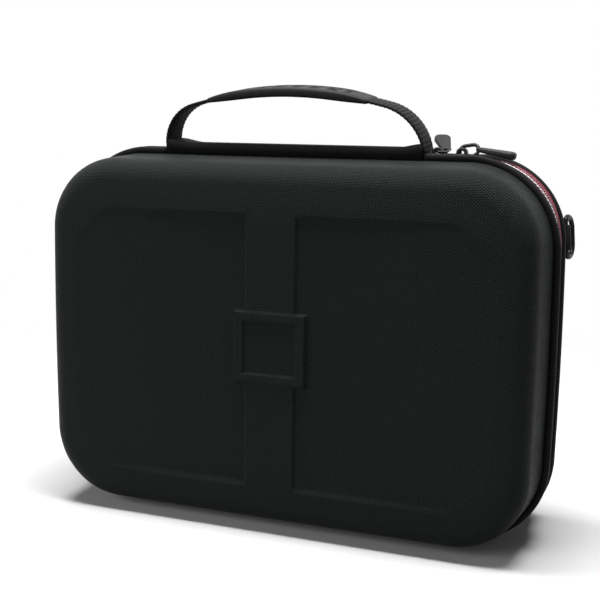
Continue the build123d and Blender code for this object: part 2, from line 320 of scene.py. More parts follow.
def new_material(name: str) -> tuple[bpy.types.Material, Wiring, bpy.types.Node]:
    """Start a material.

    Args:
        name: Name of the material.

    Returns:
        The material, its wiring and its Principled shader.
    """
    material = bpy.data.materials.new(name)
    material.use_nodes = True
    wiring = Wiring(material.node_tree)
    return material, wiring, material.node_tree.nodes["Principled BSDF"]


@dataclass(frozen=True)
class ClothFinish:
    """A woven finish that follows a piece's cloth coordinates, which are millimetres."""

    name: str
    dark: Tone
    light: Tone
    pitch: float = 1.0
    lean: float = 0.2
    stretch: tuple[float, float] = (1.0, 1.0)
    bump: float = 0.25
    rough: tuple[float, float] = (0.6, 0.75)
    specular: float = 0.25
    sheen: float = 0.0
    open_share: float = 0.0

    def build(self, groups: Groups) -> bpy.types.Material:
        """Make the material.

        Args:
            groups: The shared node groups.

        Returns:
            The finished material.
        """
        material, wiring, shader = new_material(self.name)
        cloth = wiring.node("ShaderNodeUVMap", uv_map=CLOTH_UV)
        laid = wiring.node("ShaderNodeMapping")
        laid.inputs["Scale"].default_value = (*self.stretch, 1.0)
        wiring.feed(laid.inputs["Vector"], cloth.outputs[0])
        weave = wiring.node("ShaderNodeGroup", node_tree=groups.weave)
        wiring.feed(weave.inputs["Vector"], laid.outputs[0])
        weave.inputs["Pitch"].default_value = self.pitch
        weave.inputs["Lean"].default_value = self.lean
        tone_and_sheen, height = weave.outputs["ToneAndSheen"], weave.outputs["Height"]
        # The weave's thread tone, painted sheen and painted glints set the cloth's colour between its dark and
        # light tones.
        wiring.feed(shader.inputs["Base Color"], wiring.two_tone(tone_and_sheen, self.dark, self.light))
        wiring.feed(shader.inputs["Roughness"], wiring.ranged(tone_and_sheen, *self.rough))
        bump = wiring.node("ShaderNodeBump")
        bump.inputs["Strength"].default_value = self.bump
        bump.inputs["Distance"].default_value = WEAVE_RELIEF * self.pitch * MM
        wiring.feed(bump.inputs["Height"], height)
        wiring.feed(shader.inputs["Normal"], bump.outputs[0])
        shader.inputs["Specular IOR Level"].default_value = self.specular
        shader.inputs["Sheen Weight"].default_value = self.sheen
        if self.open_share > 0.0:
            wiring.feed(shader.inputs["Alpha"], wiring.math("LESS_THAN", height, 1.0 - self.open_share))
        return material


@dataclass(frozen=True)
class MouldedFinish:
    """A moulded or coated finish with a fine grain, on object coordinates."""

    name: str
    dark: Tone
    light: Tone
    rough: tuple[float, float]
    grain: float = 1500.0
    bump: float = 0.1
    metallic: float = 0.0
    specular: float = 0.5
    coat: float = 0.0

    def build(self, groups: Groups) -> bpy.types.Material:
        """Make the material.

        Args:
            groups: The shared node groups.

        Returns:
            The finished material.
        """
        material, wiring, shader = new_material(self.name)
        place = wiring.node("ShaderNodeTexCoord")
        grain = wiring.node("ShaderNodeGroup", node_tree=groups.grain)
        wiring.feed(grain.inputs["Vector"], place.outputs["Object"])
        grain.inputs["Scale"].default_value = self.grain
        wear = grain.outputs["Wear"]
        wiring.feed(shader.inputs["Base Color"], wiring.two_tone(wear, self.dark, self.light))
        wiring.feed(shader.inputs["Roughness"], wiring.ranged(wear, *self.rough))
        bump = wiring.node("ShaderNodeBump")
        bump.inputs["Strength"].default_value = self.bump
        bump.inputs["Distance"].default_value = GRAIN_RELIEF * MM
        wiring.feed(bump.inputs["Height"], grain.outputs["Height"])
        wiring.feed(shader.inputs["Normal"], bump.outputs[0])
        shader.inputs["Metallic"].default_value = self.metallic
        shader.inputs["Specular IOR Level"].default_value = self.specular
        shader.inputs["Coat Weight"].default_value = self.coat
        return material


class Finish(Enum):
    """The finishes of the case, by the record's material slot."""

    SHELL = ClothFinish(
        "shell_cloth",
        (0.004, 0.0048, 0.0048),
        (0.040, 0.044, 0.043),
        pitch=0.95,
        lean=0.3,
        bump=0.9,
        specular=0.026,
        rough=(0.5, 0.26),
    )
    PIPING = ClothFinish("piping", (0.003, 0.003, 0.003), (0.009, 0.009, 0.010), pitch=0.7, lean=1.0, specular=0.1)
    ZIP_TAPE = ClothFinish(
        "zip_tape", (0.085, 0.012, 0.019), (0.33, 0.062, 0.09), pitch=0.6, stretch=(0.15, 1.0), specular=0.1
    )
    SPINE = ClothFinish("spine_cloth", (0.003, 0.003, 0.003), (0.010, 0.010, 0.011), pitch=0.9, specular=0.1)
    # Webbing: the weave's colour runs in stripes along the strap, in step with the handle strap's ribs, painting
    # shade in the grooves and light on the crests.
    WEBBING = ClothFinish(
        "webbing",
        (0.001, 0.001, 0.001),
        (0.030, 0.030, 0.031),
        pitch=1.4,
        lean=0.9,
        stretch=(1.0, 0.0),
        bump=0.3,
        specular=0.08,
    )
    LINING = ClothFinish("lining", (0.020, 0.021, 0.022), (0.050, 0.052, 0.054), pitch=0.8, sheen=0.1)
    MESH = ClothFinish("mesh", (0.010, 0.010, 0.011), (0.030, 0.030, 0.032), pitch=1.6, open_share=0.35)
    ELASTIC = ClothFinish("elastic", (0.008, 0.008, 0.008), (0.024, 0.024, 0.025), pitch=0.8, stretch=(0.6, 1.0))
    ZIP_COIL = MouldedFinish("zip_coil", (0.24, 0.06, 0.09), (0.42, 0.16, 0.20), (0.35, 0.5))
    THREAD = MouldedFinish("zip_thread", (0.78, 0.74, 0.74), (0.92, 0.89, 0.89), (0.5, 0.7))
    GRIP = MouldedFinish("grip_rubber", (0.011, 0.011, 0.012), (0.022, 0.022, 0.023), (0.4, 0.54), specular=0.1)
    # Painted shade: a near-black copy of the grip's rubber for the floors of its pockets, standing in for the
    # shade inside them.
    POCKET_SHADE = MouldedFinish(
        "grip_pocket_shade", (0.0015, 0.0015, 0.0015), (0.003, 0.003, 0.003), (0.7, 0.8), specular=0.04
    )
    TAB = MouldedFinish("tab_rubber", (0.014, 0.014, 0.015), (0.030, 0.030, 0.031), (0.38, 0.52), specular=0.16)
    SLIDER = MouldedFinish(
        "slider_metal", (0.004, 0.004, 0.005), (0.012, 0.012, 0.013), (0.3, 0.45), specular=0.25
    )
    RING = MouldedFinish("ring_metal", (0.007, 0.007, 0.008), (0.018, 0.018, 0.019), (0.24, 0.38), metallic=1.0)


class Wardrobe:
    """Builds each finish once and hands it out."""

    def __init__(self) -> None:
        """Build the node groups and a material for every finish."""
        groups = Groups(weave_group(), grain_group())
        self.materials = {finish: finish.value.build(groups) for finish in Finish}

    def __getitem__(self, finish: Finish) -> bpy.types.Material:
        """Material of a finish."""
        return self.materials[finish]

    def dress_solid(self, node: str, finish: Finish) -> None:
        """Give a solid of the frame its finish."""
        data = frame["nodes"][node].data
        data.materials.clear()
        data.materials.append(self[finish])
        LOG.info("dressed solid %s with %s", node, finish.value.name)


# Mesh helpers


class Station(NamedTuple):
    """A stop on a walk: a point, the direction that faces out there, and the length walked so far."""

    point: Vector
    out: Vector
    along: float


def frame_at(station: Station, side: Vector) -> Matrix:
    """Frame with X outwards, Y along the side vector and Z along the walk."""
    ahead = station.out.cross(side)
    return Matrix.Translation(station.point) @ Matrix((station.out, side, ahead)).transposed().to_4x4()


def rounded_profile(width: float, height: float, radius: float, steps: int = 4) -> list[tuple[float, float]]:
    """Closed outline of a rectangle with round corners.

    Args:
        width: Size along X.
        height: Size along Y.
        radius: Corner radius.
        steps: Points on each corner, less one.

    Returns:
        The points, counter-clockwise.
    """
    points = []
    for quarter, (sx, sy) in enumerate(((1, 1), (-1, 1), (-1, -1), (1, -1))):
        for step in range(steps + 1):
            angle = math.radians(90 * (quarter + step / steps))
            x = sx * (width / 2 - radius) + radius * math.cos(angle)
            points.append((x, sy * (height / 2 - radius) + radius * math.sin(angle)))
    return points


def boundary(bm: BMesh) -> list[BMEdge]:
    """Open edges of a mesh."""
    return [edge for edge in bm.edges if edge.is_boundary]


def swept(profile: Sequence[tuple[float, float]], frames: Sequence[Matrix], alongs: Sequence[float]) -> BMesh:
    """Closed profile extruded from frame to frame, capped, with cloth coordinates along and around it.

    Args:
        profile: Points of the profile in a frame's X and Y.
        frames: A frame for each stop.
        alongs: Length walked at each stop.

    Returns:
        The closed mesh.
    """
    bm = bmesh.new()
    run = bm.verts.layers.float.new("along")
    girth = bm.verts.layers.float.new("around")
    around, last, row = 0.0, None, []
    for point in (*profile, profile[0]):
        vert = bm.verts.new(frames[0] @ Vector((*point, 0.0)))
        around += 0.0 if last is None else math.dist(point, last)
        vert[run], vert[girth], last = alongs[0], around, point
        row.append(vert)
    edges = [bm.edges.new(pair) for pair in zip(row, row[1:])]
    for here, there, along in zip(frames, frames[1:], alongs[1:]):
        made = bmesh.ops.extrude_edge_only(bm, edges=edges)["geom"]
        moved = {item for item in made if isinstance(item, BMVert)}
        edges = [item for item in made if isinstance(item, BMEdge) and moved.issuperset(item.verts)]
        bmesh.ops.transform(bm, matrix=there @ here.inverted(), verts=list(moved))
        for vert in moved:
            vert[run] = along
    cloth = bm.loops.layers.uv.new(CLOTH_UV)
    for face in bm.faces:
        for loop in face.loops:
            loop[cloth].uv = (loop.vert[run], loop.vert[girth])
    bmesh.ops.remove_doubles(bm, verts=bm.verts, dist=MERGE)
    bmesh.ops.holes_fill(bm, edges=boundary(bm), sides=0)
    bmesh.ops.recalc_face_normals(bm, faces=bm.faces)
    return bm


def pressed(
    half_x: float, half_y: float, cell: float, fold: Callable, shape: Callable, sharp: Optional[Callable] = None
) -> BMesh:
    """Flat sheet of cloth pressed into a shape.

    Args:
        half_x: Half width of the sheet.
        half_y: Half height of the sheet.
        cell: Size of a mesh cell.
        fold: Takes a place on the sheet and gives the place that is cut there, as X and Y.
        shape: Takes a cut place and gives its point once pressed.
        sharp: Takes a cut place and tells whether the mesh is finer there.

    Returns:
        The open sheet, with the cut places as cloth coordinates.
    """
    bm = bmesh.new()
    counts = [round(2 * half / cell) for half in (half_x, half_y)]
    bmesh.ops.create_grid(bm, x_segments=counts[0], y_segments=counts[1], size=1.0)
    if sharp is not None:
        middles = ((face, face.calc_center_median()) for face in bm.faces)
        fine = [face for face, spot in middles if sharp(*fold(spot.x * half_x, spot.y * half_y))]
        edges = list({edge for face in fine for edge in face.edges})
        bmesh.ops.subdivide_edges(bm, edges=edges, cuts=FINE_CUTS, use_grid_fill=True)
    cuts = {vert: fold(vert.co.x * half_x, vert.co.y * half_y) for vert in bm.verts}
    cloth = bm.loops.layers.uv.new(CLOTH_UV)
    for face in bm.faces:
        for loop in face.loops:
            loop[cloth].uv = cuts[loop.vert]
    for vert, cut in cuts.items():
        vert.co = shape(*cut)
    return bm


def round_off(x: float, y: float, centre_x: float, centre_y: float) -> tuple[float, float]:
    """Pull a rectangle's corner onto a quarter circle.

    Args:
        x: Place across.
        y: Place up.
        centre_x: Half width between the corner centres.
        centre_y: Half height between the corner centres.

    Returns:
        The place inside the rounded outline.
    """
    beyond_x, beyond_y = abs(x) - centre_x, abs(y) - centre_y
    if min(beyond_x, beyond_y) <= 0:
        return x, y
    reach = max(beyond_x, beyond_y)
    turn = math.pi / 4 * min(beyond_x, beyond_y) / reach
    angle = turn if beyond_x >= beyond_y else math.pi / 2 - turn
    return (
        math.copysign(centre_x + reach * math.cos(angle), x),
        math.copysign(centre_y + reach * math.sin(angle), y),
    )


@dataclass
class Piece:
    """What a finished mesh needs besides its shape."""

    name: str
    body: Optional[Body]
    finishes: tuple[Finish, ...]
    replaces: tuple[str, ...] = ()
    slot: Optional[str] = None

    def finish(self, bm: BMesh, wardrobe: Wardrobe) -> bpy.types.Object:
        """Turn a mesh in millimetres into a dressed object on its body.

        Args:
            bm: The mesh, which is freed.
            wardrobe: Where the materials come from.

        Returns:
            The object.
        """
        bmesh.ops.scale(bm, vec=(MM, MM, MM), verts=bm.verts)
        for face in bm.faces:
            face.smooth = True
        data = bpy.data.meshes.new(self.name)
        bm.to_mesh(data)
        bm.free()
        for finish in self.finishes:
            data.materials.append(wardrobe[finish])
        made = bpy.data.objects.new(self.name, data)
        bpy.context.scene.collection.objects.link(made)
        if self.body is not None:
            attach(made, self.body.value)
        self.slot or self.finishes[0].value.name
        if self.replaces:
            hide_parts(*self.replaces)
        LOG.info("built %s with %d faces", self.name, len(data.polygons))
        return made


def thicken(piece: bpy.types.Object, thickness: float, inner: int = 0) -> None:
    """Give a sheet a wall behind its faces.

    Args:
        piece: The sheet.
        thickness: Wall thickness in millimetres.
        inner: How many material slots further the back and the rim take theirs.
    """
    solidify = piece.modifiers.new("wall", "SOLIDIFY")
    solidify.thickness = thickness * MM
    solidify.offset = -1.0
    solidify.material_offset = inner
    solidify.material_offset_rim = inner


# The case


@dataclass(frozen=True)
class Flange:
    """The flange line, the widest outline of the case, from which both halves are set out."""

    half_width: float
    height: float
    corner_radius: float = 52.0
    side_bow: float = 2.0
    corner_tuck: float = 1.6
    corner_ease: float = 0.8
    side_proud: float = 0.45

    @classmethod
    def from_frame(cls) -> "Flange":
        """Read the outline's size from the rear piping."""
        low, high = node_box("rear_binding")
        return cls((high.x - low.x) / 2, high.z - low.z)

    @property
    def half_height(self) -> float:
        """Height of the middle."""
        return self.height / 2

    @property
    def arc_z(self) -> float:
        """Height of the top corner centres above the middle."""
        return self.half_height - self.corner_radius

    @property
    def arc_x(self) -> float:
        """Distance of the corner centres from the middle."""
        side = (self.half_height**2 + self.side_bow**2) / (2 * self.side_bow)
        return self.half_width - side + math.sqrt((side - self.corner_radius) ** 2 - self.arc_z**2)

    def bulge(self, z: float) -> float:
        """How far a side stands out past the corners' tangent at a height from the middle."""
        return (self.half_width - self.arc_x - self.corner_radius) * max(0.0, 1 - (z / self.arc_z) ** 2)

    def outward(self, x: float, z: float) -> tuple[Vector, float]:
        """Direction out of the outline, and reach past the corner centres' rectangle.

        Args:
            x: Place across, from the middle.
            z: Place up, from the middle.

        Returns:
            The direction in X and Z, and the distance, which is the corner radius on the flange line.
        """
        beyond_x, beyond_z = abs(x) - self.arc_x, abs(z) - self.arc_z
        if beyond_x > 0 and beyond_z > 0:
            reach = math.hypot(beyond_x, beyond_z)
            away = Vector((beyond_x / reach, beyond_z / reach))
        elif beyond_x > beyond_z:
            reach, away = beyond_x, Vector((1.0, 0.0))
        else:
            reach, away = beyond_z, Vector((0.0, 1.0))
        return Vector((math.copysign(away.x, x), math.copysign(away.y, z))), reach

    def tightness(self, out_x: float, out_z: float) -> float:
        """Share of the zip's pull round a top corner, by the way out there."""
        return abs(2 * out_x * out_z) ** self.corner_ease if out_z > 0 else 0.0

    def proud(self, stop: "Station") -> float:
        """Share by which the zip stands level with the piping: fully round a top corner, less down the side."""
        above = smoothstep((stop.point.z - self.half_height) / self.arc_z)
        side = self.side_proud * above * abs(stop.out.x)
        return max(self.tightness(stop.out.x, stop.out.z), side)

    def walk(self, start_x: float, end_x: float, step: float) -> list[Station]:
        """Stops along the line from the top right, down, below and up to the top left.

        Args:
            start_x: Where the walk starts on the top edge.
            end_x: Where it ends on the top edge.
            step: Distance between stops.

        Returns:
            The stops.
        """
        spots: list[tuple[Vector, Vector]] = []
        radius, middle = self.corner_radius, self.half_height

        def straight(z: float, x0: float, x1: float) -> None:
            count = max(1, round(abs(x1 - x0) / step))
            way = Vector((0, 0, math.copysign(1.0, z)))
            for i in range(count):
                spots.append((Vector((mixed(x0, x1, i / count), 0, middle + z)), way))

        def corner(sx: int, sz: int, start: float) -> None:
            count = round(radius * math.pi / 2 / step)
            for i in range(count):
                angle = math.radians(start - 90 * i / count)
                way = Vector((math.cos(angle), 0, math.sin(angle)))
                spots.append((Vector((sx * self.arc_x, 0, middle + sz * self.arc_z)) + radius * way, way))

        def side(sign: int) -> None:
            count = round(2 * self.arc_z / step)
            for i in range(count):
                z = sign * mixed(self.arc_z, -self.arc_z, i / count)
                x = self.arc_x + radius + self.bulge(z)
                spots.append((Vector((sign * x, 0, middle + z)), Vector((sign, 0, 0))))

        straight(middle, start_x, self.arc_x)
        corner(1, 1, 90)
        side(1)
        corner(1, -1, 0)
        straight(-middle, self.arc_x, -self.arc_x)
        corner(-1, -1, -90)
        side(-1)
        corner(-1, 1, -180)
        straight(middle, -self.arc_x, end_x)
        spots.append((Vector((end_x, 0, self.height)), Vector((0, 0, 1))))
        stops, along = [], 0.0
        for i, (point, way) in enumerate(spots):
            along += (point - spots[i - 1][0]).length if i else 0.0
            stops.append(Station(point, way, along))
        return stops


@dataclass
class HalfShell:
    """One moulded half shell: foam board pressed with its cloth, with a lining inside."""

    half: Half
    flange: Flange
    wall: float = 4.0
    rim_inset: float = 4.2
    rim_gap: float = 5.2
    land_depth: float = 11.2
    draft: float = math.radians(4.0)
    front_round: float = 14.0
    tuck_depth: float = 36.0
    tuck_share: float = 0.65
    face_crown: float = 1.3
    crown_reach: float = 26.0
    cell: float = 2.3
    face_depth: float = field(init=False)

    def __post_init__(self) -> None:
        """Read the depth of the face from the solid."""
        low, high = node_box(f"{self.half.word}_shell")
        self.face_depth = high.y if self.half is Half.REAR else -low.y - LidRelief.boss_raise

    @property
    def turn(self) -> float:
        """Angle that the cloth turns through at the front rounding."""
        return math.pi / 2 - self.draft

    @property
    def flat_inset(self) -> float:
        """Inset of the face's flat part from the flange line."""
        drawn = (self.face_depth - self.land_depth) * math.tan(self.draft)
        return self.rim_inset + drawn + self.front_round * math.tan(self.turn / 2)

    @property
    def drop(self) -> float:
        """Depth at which the rounding runs into the drafted wall."""
        return self.face_depth - self.front_round * (1 - math.cos(self.turn))

    @property
    def lengths(self) -> tuple[float, float, float]:
        """Cloth lengths of the rounding, the drafted wall and the land."""
        slope = (self.drop - self.land_depth) / math.cos(self.draft)
        return self.front_round * self.turn, slope, self.land_depth - self.rim_gap

    def profile(self, run: float) -> tuple[float, float]:
        """Inset and depth of the skin.

        Args:
            run: Cloth length past the edge of the flat.

        Returns:
            Inset from the flange line, and depth from the parting plane.
        """
        bend, slope, _ = self.lengths
        angle = min(run, bend) / self.front_round
        inset = self.flat_inset - self.front_round * math.sin(angle)
        depth = self.face_depth - self.front_round * (1 - math.cos(angle))
        down = min(max(run - bend, 0.0), slope)
        land = max(run - bend - slope, 0.0)
        return inset - down * math.sin(self.draft), depth - down * math.cos(self.draft) - land

    def point(self, x: float, z: float) -> Vector:
        """Pressed place of a cut place of the cloth, which is measured from the middle."""
        flange = self.flange
        out, reach = flange.outward(x, z)
        run = reach - (flange.corner_radius - self.flat_inset)
        depth = self.face_depth
        if run > 0:
            inset, depth = self.profile(run)
            moved = out * (flange.corner_radius - inset - reach)
            if self.half is Half.LID:
                rim = smoothstep((self.tuck_depth - depth) / (self.tuck_depth - self.land_depth))
                moved -= out * flange.corner_tuck * self.tuck_share * flange.tightness(out.x, out.y) * rim
            x, z = x + moved.x, z + moved.y
        depth -= self.face_crown * max(0.0, 1 + min(run, 0.0) / self.crown_reach) ** 2
        if run <= 0 and self.half is Half.LID:
            depth += LidRelief().height(x, z)
        x += math.copysign(flange.bulge(z), x) * smoothstep(abs(x) / flange.arc_x)
        return Vector((-self.half.value * x, self.half.value * depth, flange.half_height + z))

    def build(self, wardrobe: Wardrobe) -> None:
        """Press the cloth and give it its wall and lining."""
        flange = self.flange
        spread = flange.corner_radius - self.flat_inset + sum(self.lengths)
        bm = pressed(
            flange.arc_x + spread,
            flange.arc_z + spread,
            self.cell,
            lambda x, z: round_off(x, z, flange.arc_x, flange.arc_z),
            self.point,
            LidRelief().near_edge if self.half is Half.LID else None,
        )
        word = self.half.word
        piece = Piece(f"{word}_half_shell", self.half.body, (Finish.SHELL, Finish.LINING), (f"{word}_shell",))
        thicken(piece.finish(bm, wardrobe), self.wall, inner=1)


@dataclass
class LidRelief:
    """Plain relief pressed into the lid's face: two sunk panels beside a rib, and a square boss with a window."""

    panel_width: float = 116.0
    panel_height: float = 165.0
    panel_drop: float = 3.5
    cut_corner: float = 21.0
    panel_sink: float = 1.6
    rib_width: float = 32.0
    boss_width: float = 46.0
    boss_height: float = 44.0
    boss_raise: float = 1.0
    window_width: float = 34.0
    window_height: float = 32.0
    window_sink: float = 1.5
    soft: float = 1.5
    outer_soft: float = 4.5
    outer_share: float = 0.3
    fine_reach: float = 2.6

    def panel(self, x: float, z: float) -> float:
        """Distance inside the nearer panel's outer edges."""
        across = abs(x) - (self.rib_width + self.panel_width) / 2
        up = abs(z + self.panel_drop)
        inside = min(self.panel_width / 2 - across, self.panel_height / 2 - up)
        corner = (self.panel_width + self.panel_height) / 2 - self.cut_corner - across - up
        return min(inside, corner / math.sqrt(2))

    def beside_rib(self, x: float, z: float) -> float:
        """Distance from the rib into the nearer panel, up to the panel's ends."""
        return min(abs(x) - self.rib_width / 2, self.panel_height / 2 - abs(z + self.panel_drop) + self.soft)

    def boss(self, x: float, z: float) -> float:
        """Distance inside the boss."""
        return min(self.boss_width / 2 - abs(x), self.boss_height / 2 - abs(z))

    def window(self, x: float, z: float) -> float:
        """Distance inside the window."""
        return min(self.window_width / 2 - abs(x), self.window_height / 2 - abs(z))

    def near_edge(self, x: float, z: float) -> bool:
        """Whether a place lies on the edge of a pressed shape."""
        return min(abs(shape(x, z)) for shape in (self.beside_rib, self.boss, self.window)) < self.fine_reach

    def step(self, inside: float, soft: float) -> float:
        """Soft edge of a pressed shape at a distance inside it."""
        return smoothstep(inside / soft + 0.5)

    def height(self, x: float, z: float) -> float:
        """Height of the relief at a place of the face."""
        sunk = self.step(self.panel(x, z), self.outer_soft) * self.step(self.beside_rib(x, z), self.soft)
        sunk *= mixed(1.0, self.outer_share, smoothstep((abs(x) - self.rib_width / 2) / self.panel_width))
        level = mixed(-self.panel_sink * sunk, self.boss_raise, self.step(self.boss(x, z), self.soft))
        return level - self.window_sink * self.step(self.window(x, z), self.soft)


@dataclass
class ZipFlange:
    """Piping, zip tape and nylon coil of one half, sewn along the flange line."""

    half: Half
    flange: Flange
    step: float = 2.4
    bead_near: float = 6.0
    bead_far: float = 11.2
    bead_height: float = 4.5
    bead_round: float = 2.2
    bead_steps: int = 6
    bead_lap: float = 1.5
    bead_fullness: float = 0.6
    crest_share: float = 0.3
    tape_inset: float = 0.9
    tape_thickness: float = 0.8
    tape_reach: float = 0.6
    tape_gap: float = 0.25
    zip_sink: float = 2.2
    stitch_pitch: float = 2.6
    stitch_length: float = 3.2
    stitch_radius: float = 0.54
    stitch_place: float = 5.2
    stitch_inset: float = 0.2
    coil_pitch: float = 1.5
    coil_wire: float = 0.34
    coil_radius: float = 0.62
    coil_inset: float = 0.8
    coil_centre: float = 0.95
    coil_breadth: float = 1.1
    turn_steps: int = 8

    def stops(self, node: str, step: float) -> list[Station]:
        """Stops along the flange between the ends of this half's run in a solid."""
        return self.flange.walk(self.top_end(node, 1), self.top_end(node, -1), step)

    def top_end(self, node: str, sign: int) -> float:
        """End of a solid's run on the top edge, right of the handle or, with a sign of -1, left of it."""
        crest = node_box(node)[1].z - self.crest_share * self.bead_height
        tops = [v.co.x / MM for v in frame["nodes"][node].data.vertices if v.co.z / MM > crest]
        return min(x for x in tops if x > 0) if sign > 0 else max(x for x in tops if x < 0)

    def frames(self, stops: Sequence[Station], sink: float = 0.0) -> list[Matrix]:
        """Frames with X outwards and Y to the rear, sheared where the lid's rim is tucked in.

        Args:
            stops: Stops along the flange.
            sink: How far the zip lies below the piping where it isn't pulled tight.

        Returns:
            A frame for each stop.
        """
        made = []
        for stop in stops:
            tuck = self.flange.corner_tuck * self.flange.tightness(stop.out.x, stop.out.z)
            shear = Matrix.Identity(4)
            shear[0][1] = tuck / (2 * self.bead_near)
            shear[0][3] = -tuck / 2 - sink * (1 - self.flange.proud(stop))
            made.append(frame_at(stop, Vector((0, 1, 0))) @ shear)
        return made

    def bead_profile(self) -> list[tuple[float, float]]:
        """Outline of the piping bead: square at the seam, round outside."""
        side, high = self.half.value, self.bead_height
        middle, reach = (self.bead_near + self.bead_far) / 2, (self.bead_far - self.bead_near) / 2
        points = [(-high, side * self.bead_near)]
        for i in range(2 * self.bead_steps + 1):
            angle = math.pi * i / (2 * self.bead_steps)
            rise = abs(math.sin(angle)) ** self.bead_fullness
            points.append((-self.bead_round + self.bead_round * rise, side * (middle - reach * math.cos(angle))))
        return points + [(-high, side * self.bead_far)]

    def build(self, wardrobe: Wardrobe) -> None:
        """Sew piping, tape and coil on."""
        word, body, side = self.half.word, self.half.body, self.half.value
        node = f"{word}_binding"
        right, left = self.top_end(node, 1) - self.bead_lap, self.top_end(node, -1) + self.bead_lap
        stops = self.flange.walk(right, left, self.step)
        bm = swept(self.bead_profile(), self.frames(stops), [s.along for s in stops])
        Piece(f"{word}_piping", body, (Finish.PIPING,), (node,)).finish(bm, wardrobe)
        node = f"zip_tape_{word}"
        stops = self.stops(node, self.step)
        inner = self.tape_inset + self.tape_thickness
        near, far = side * self.tape_gap, side * (self.bead_near + self.tape_reach)
        tape = [(-self.tape_inset, near), (-self.tape_inset, far), (-inner, far), (-inner, near)]
        bm = swept(tape, self.frames(stops, self.zip_sink), [s.along for s in stops])
        Piece(f"zip_tape_{word}_band", body, (Finish.ZIP_TAPE,), (node,)).finish(bm, wardrobe)
        self.build_coil(wardrobe)
        if self.half is Half.LID:
            self.build_stitches(wardrobe)

    def build_stitches(self, wardrobe: Wardrobe) -> None:
        """Sew the pale thread along the lid's tape, beside the piping."""
        stops = self.stops("zip_tape_front", self.stitch_pitch)
        bm = bmesh.new()
        shape = Matrix.Diagonal((self.stitch_radius, self.stitch_radius, self.stitch_length / 2, 1.0))
        for place in self.frames(stops, self.zip_sink):
            spot = Matrix.Translation((-self.stitch_inset, self.half.value * self.stitch_place, 0))
            bmesh.ops.create_uvsphere(bm, u_segments=6, v_segments=5, radius=1.0, matrix=place @ spot @ shape)
        bmesh.ops.recalc_face_normals(bm, faces=bm.faces)
        Piece("front_zip_stitches", Body.LID, (Finish.THREAD,), slot="zip_coil").finish(bm, wardrobe)

    def build_coil(self, wardrobe: Wardrobe) -> None:
        """Wind the coil along the tape's edge."""
        word, side = self.half.word, self.half.value
        node = f"zip_coil_{word}"
        stops = self.stops(node, self.coil_pitch / self.turn_steps)
        frames = self.frames(stops, self.zip_sink)
        line = bpy.data.curves.new(f"zip_coil_{word}_line", "CURVE")
        line.dimensions = "3D"
        line.bevel_depth = self.coil_wire * MM
        line.bevel_resolution = 0
        spline = line.splines.new("POLY")
        spline.points.add(len(stops) - 1)
        for knot, stop, place in zip(spline.points, stops, frames):
            angle = 2 * math.pi * stop.along / self.coil_pitch
            out = -self.coil_inset + self.coil_radius * math.cos(angle)
            aside = side * (self.coil_centre + self.coil_breadth * self.coil_radius * math.sin(angle))
            knot.co = (*(place @ Vector((out, aside, 0.0)) * MM), 1.0)
        wound = bpy.data.objects.new(line.name, line)
        bpy.context.scene.collection.objects.link(wound)
        bm = bmesh.new()
        settled = wound.evaluated_get(bpy.context.evaluated_depsgraph_get())
        bm.from_mesh(bpy.data.meshes.new_from_object(settled))
        bpy.data.objects.remove(wound)
        bmesh.ops.scale(bm, vec=(1 / MM, 1 / MM, 1 / MM), verts=bm.verts)
        Piece(f"zip_coil_{word}_wound", self.half.body, (Finish.ZIP_COIL,), (node,)).finish(bm, wardrobe)


@dataclass
class Spine:
    """Cloth hinge between the handle's feet, raised where the feet are sewn in under it."""

    thickness: float = 1.2
    corner: float = 2.4
    foot_rise: float = 2.4
    foot_reach: float = 17.0
    stand: float = 1.6
    overlap: float = 2.8
    step: float = 2.0
    corner_steps: int = 4
    bend_share: float = 0.75

    def profile(self, half_depth: float, low: float, high: float) -> list[tuple[float, float]]:
        """Outline of the cloth channel in Z and Y.

        Args:
            half_depth: Half of its depth.
            low: Height of its lower edges.
            high: Height of its top.

        Returns:
            The outline, outside first.
        """
        def skin(inset: float) -> list[tuple[float, float]]:
            radius, half, top = self.corner - inset, half_depth - inset, high - inset
            points = [(low, -half)]
            for sign in (-1, 1):
                for i in range(self.corner_steps + 1):
                    angle = math.pi / 2 * (i if sign < 0 else self.corner_steps - i) / self.corner_steps
                    aside = half - radius + radius * math.cos(angle)
                    points.append((top - radius + radius * math.sin(angle), sign * aside))
            return points + [(low, half)]

        return skin(0.0) + skin(self.thickness)[::-1]

    def build(self, wardrobe: Wardrobe) -> None:
        """Sew the spine between the two halves."""
        low, high = node_box("hinge_spine")
        low.x, high.x, high.z = low.x - self.overlap, high.x + self.overlap, high.z + self.stand
        outline = self.profile(high.y, 0.0, high.z - low.z)
        count = round((high.x - low.x) / self.step)
        frames, alongs = [], []
        for i in range(count + 1):
            x = mixed(low.x, high.x, i / count)
            near = min(x - low.x, high.x - x) / self.foot_reach
            rise = 1 + self.foot_rise / (high.z - low.z) * (1 - smoothstep(near))
            place = frame_at(Station(Vector((x, 0, low.z)), Vector((0, 0, 1)), x), Vector((0, 1, 0)))
            frames.append(place @ Matrix.Diagonal((rise, 1, 1, 1)))
            alongs.append(x)
        bm = swept(outline, frames, alongs)
        made = Piece("spine_cloth_hinge", None, (Finish.SPINE,), ("hinge_spine",)).finish(bm, wardrobe)
        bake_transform(made)


@dataclass
class Move:
    """A piece of a traced path: an arc with a radius and a turn in degrees, or a straight run."""

    length: float = 0.0
    radius: float = 0.0
    turn: float = 0.0

    @property
    def run(self) -> float:
        """Length of the path in this move."""
        return self.length or self.radius * math.radians(abs(self.turn))


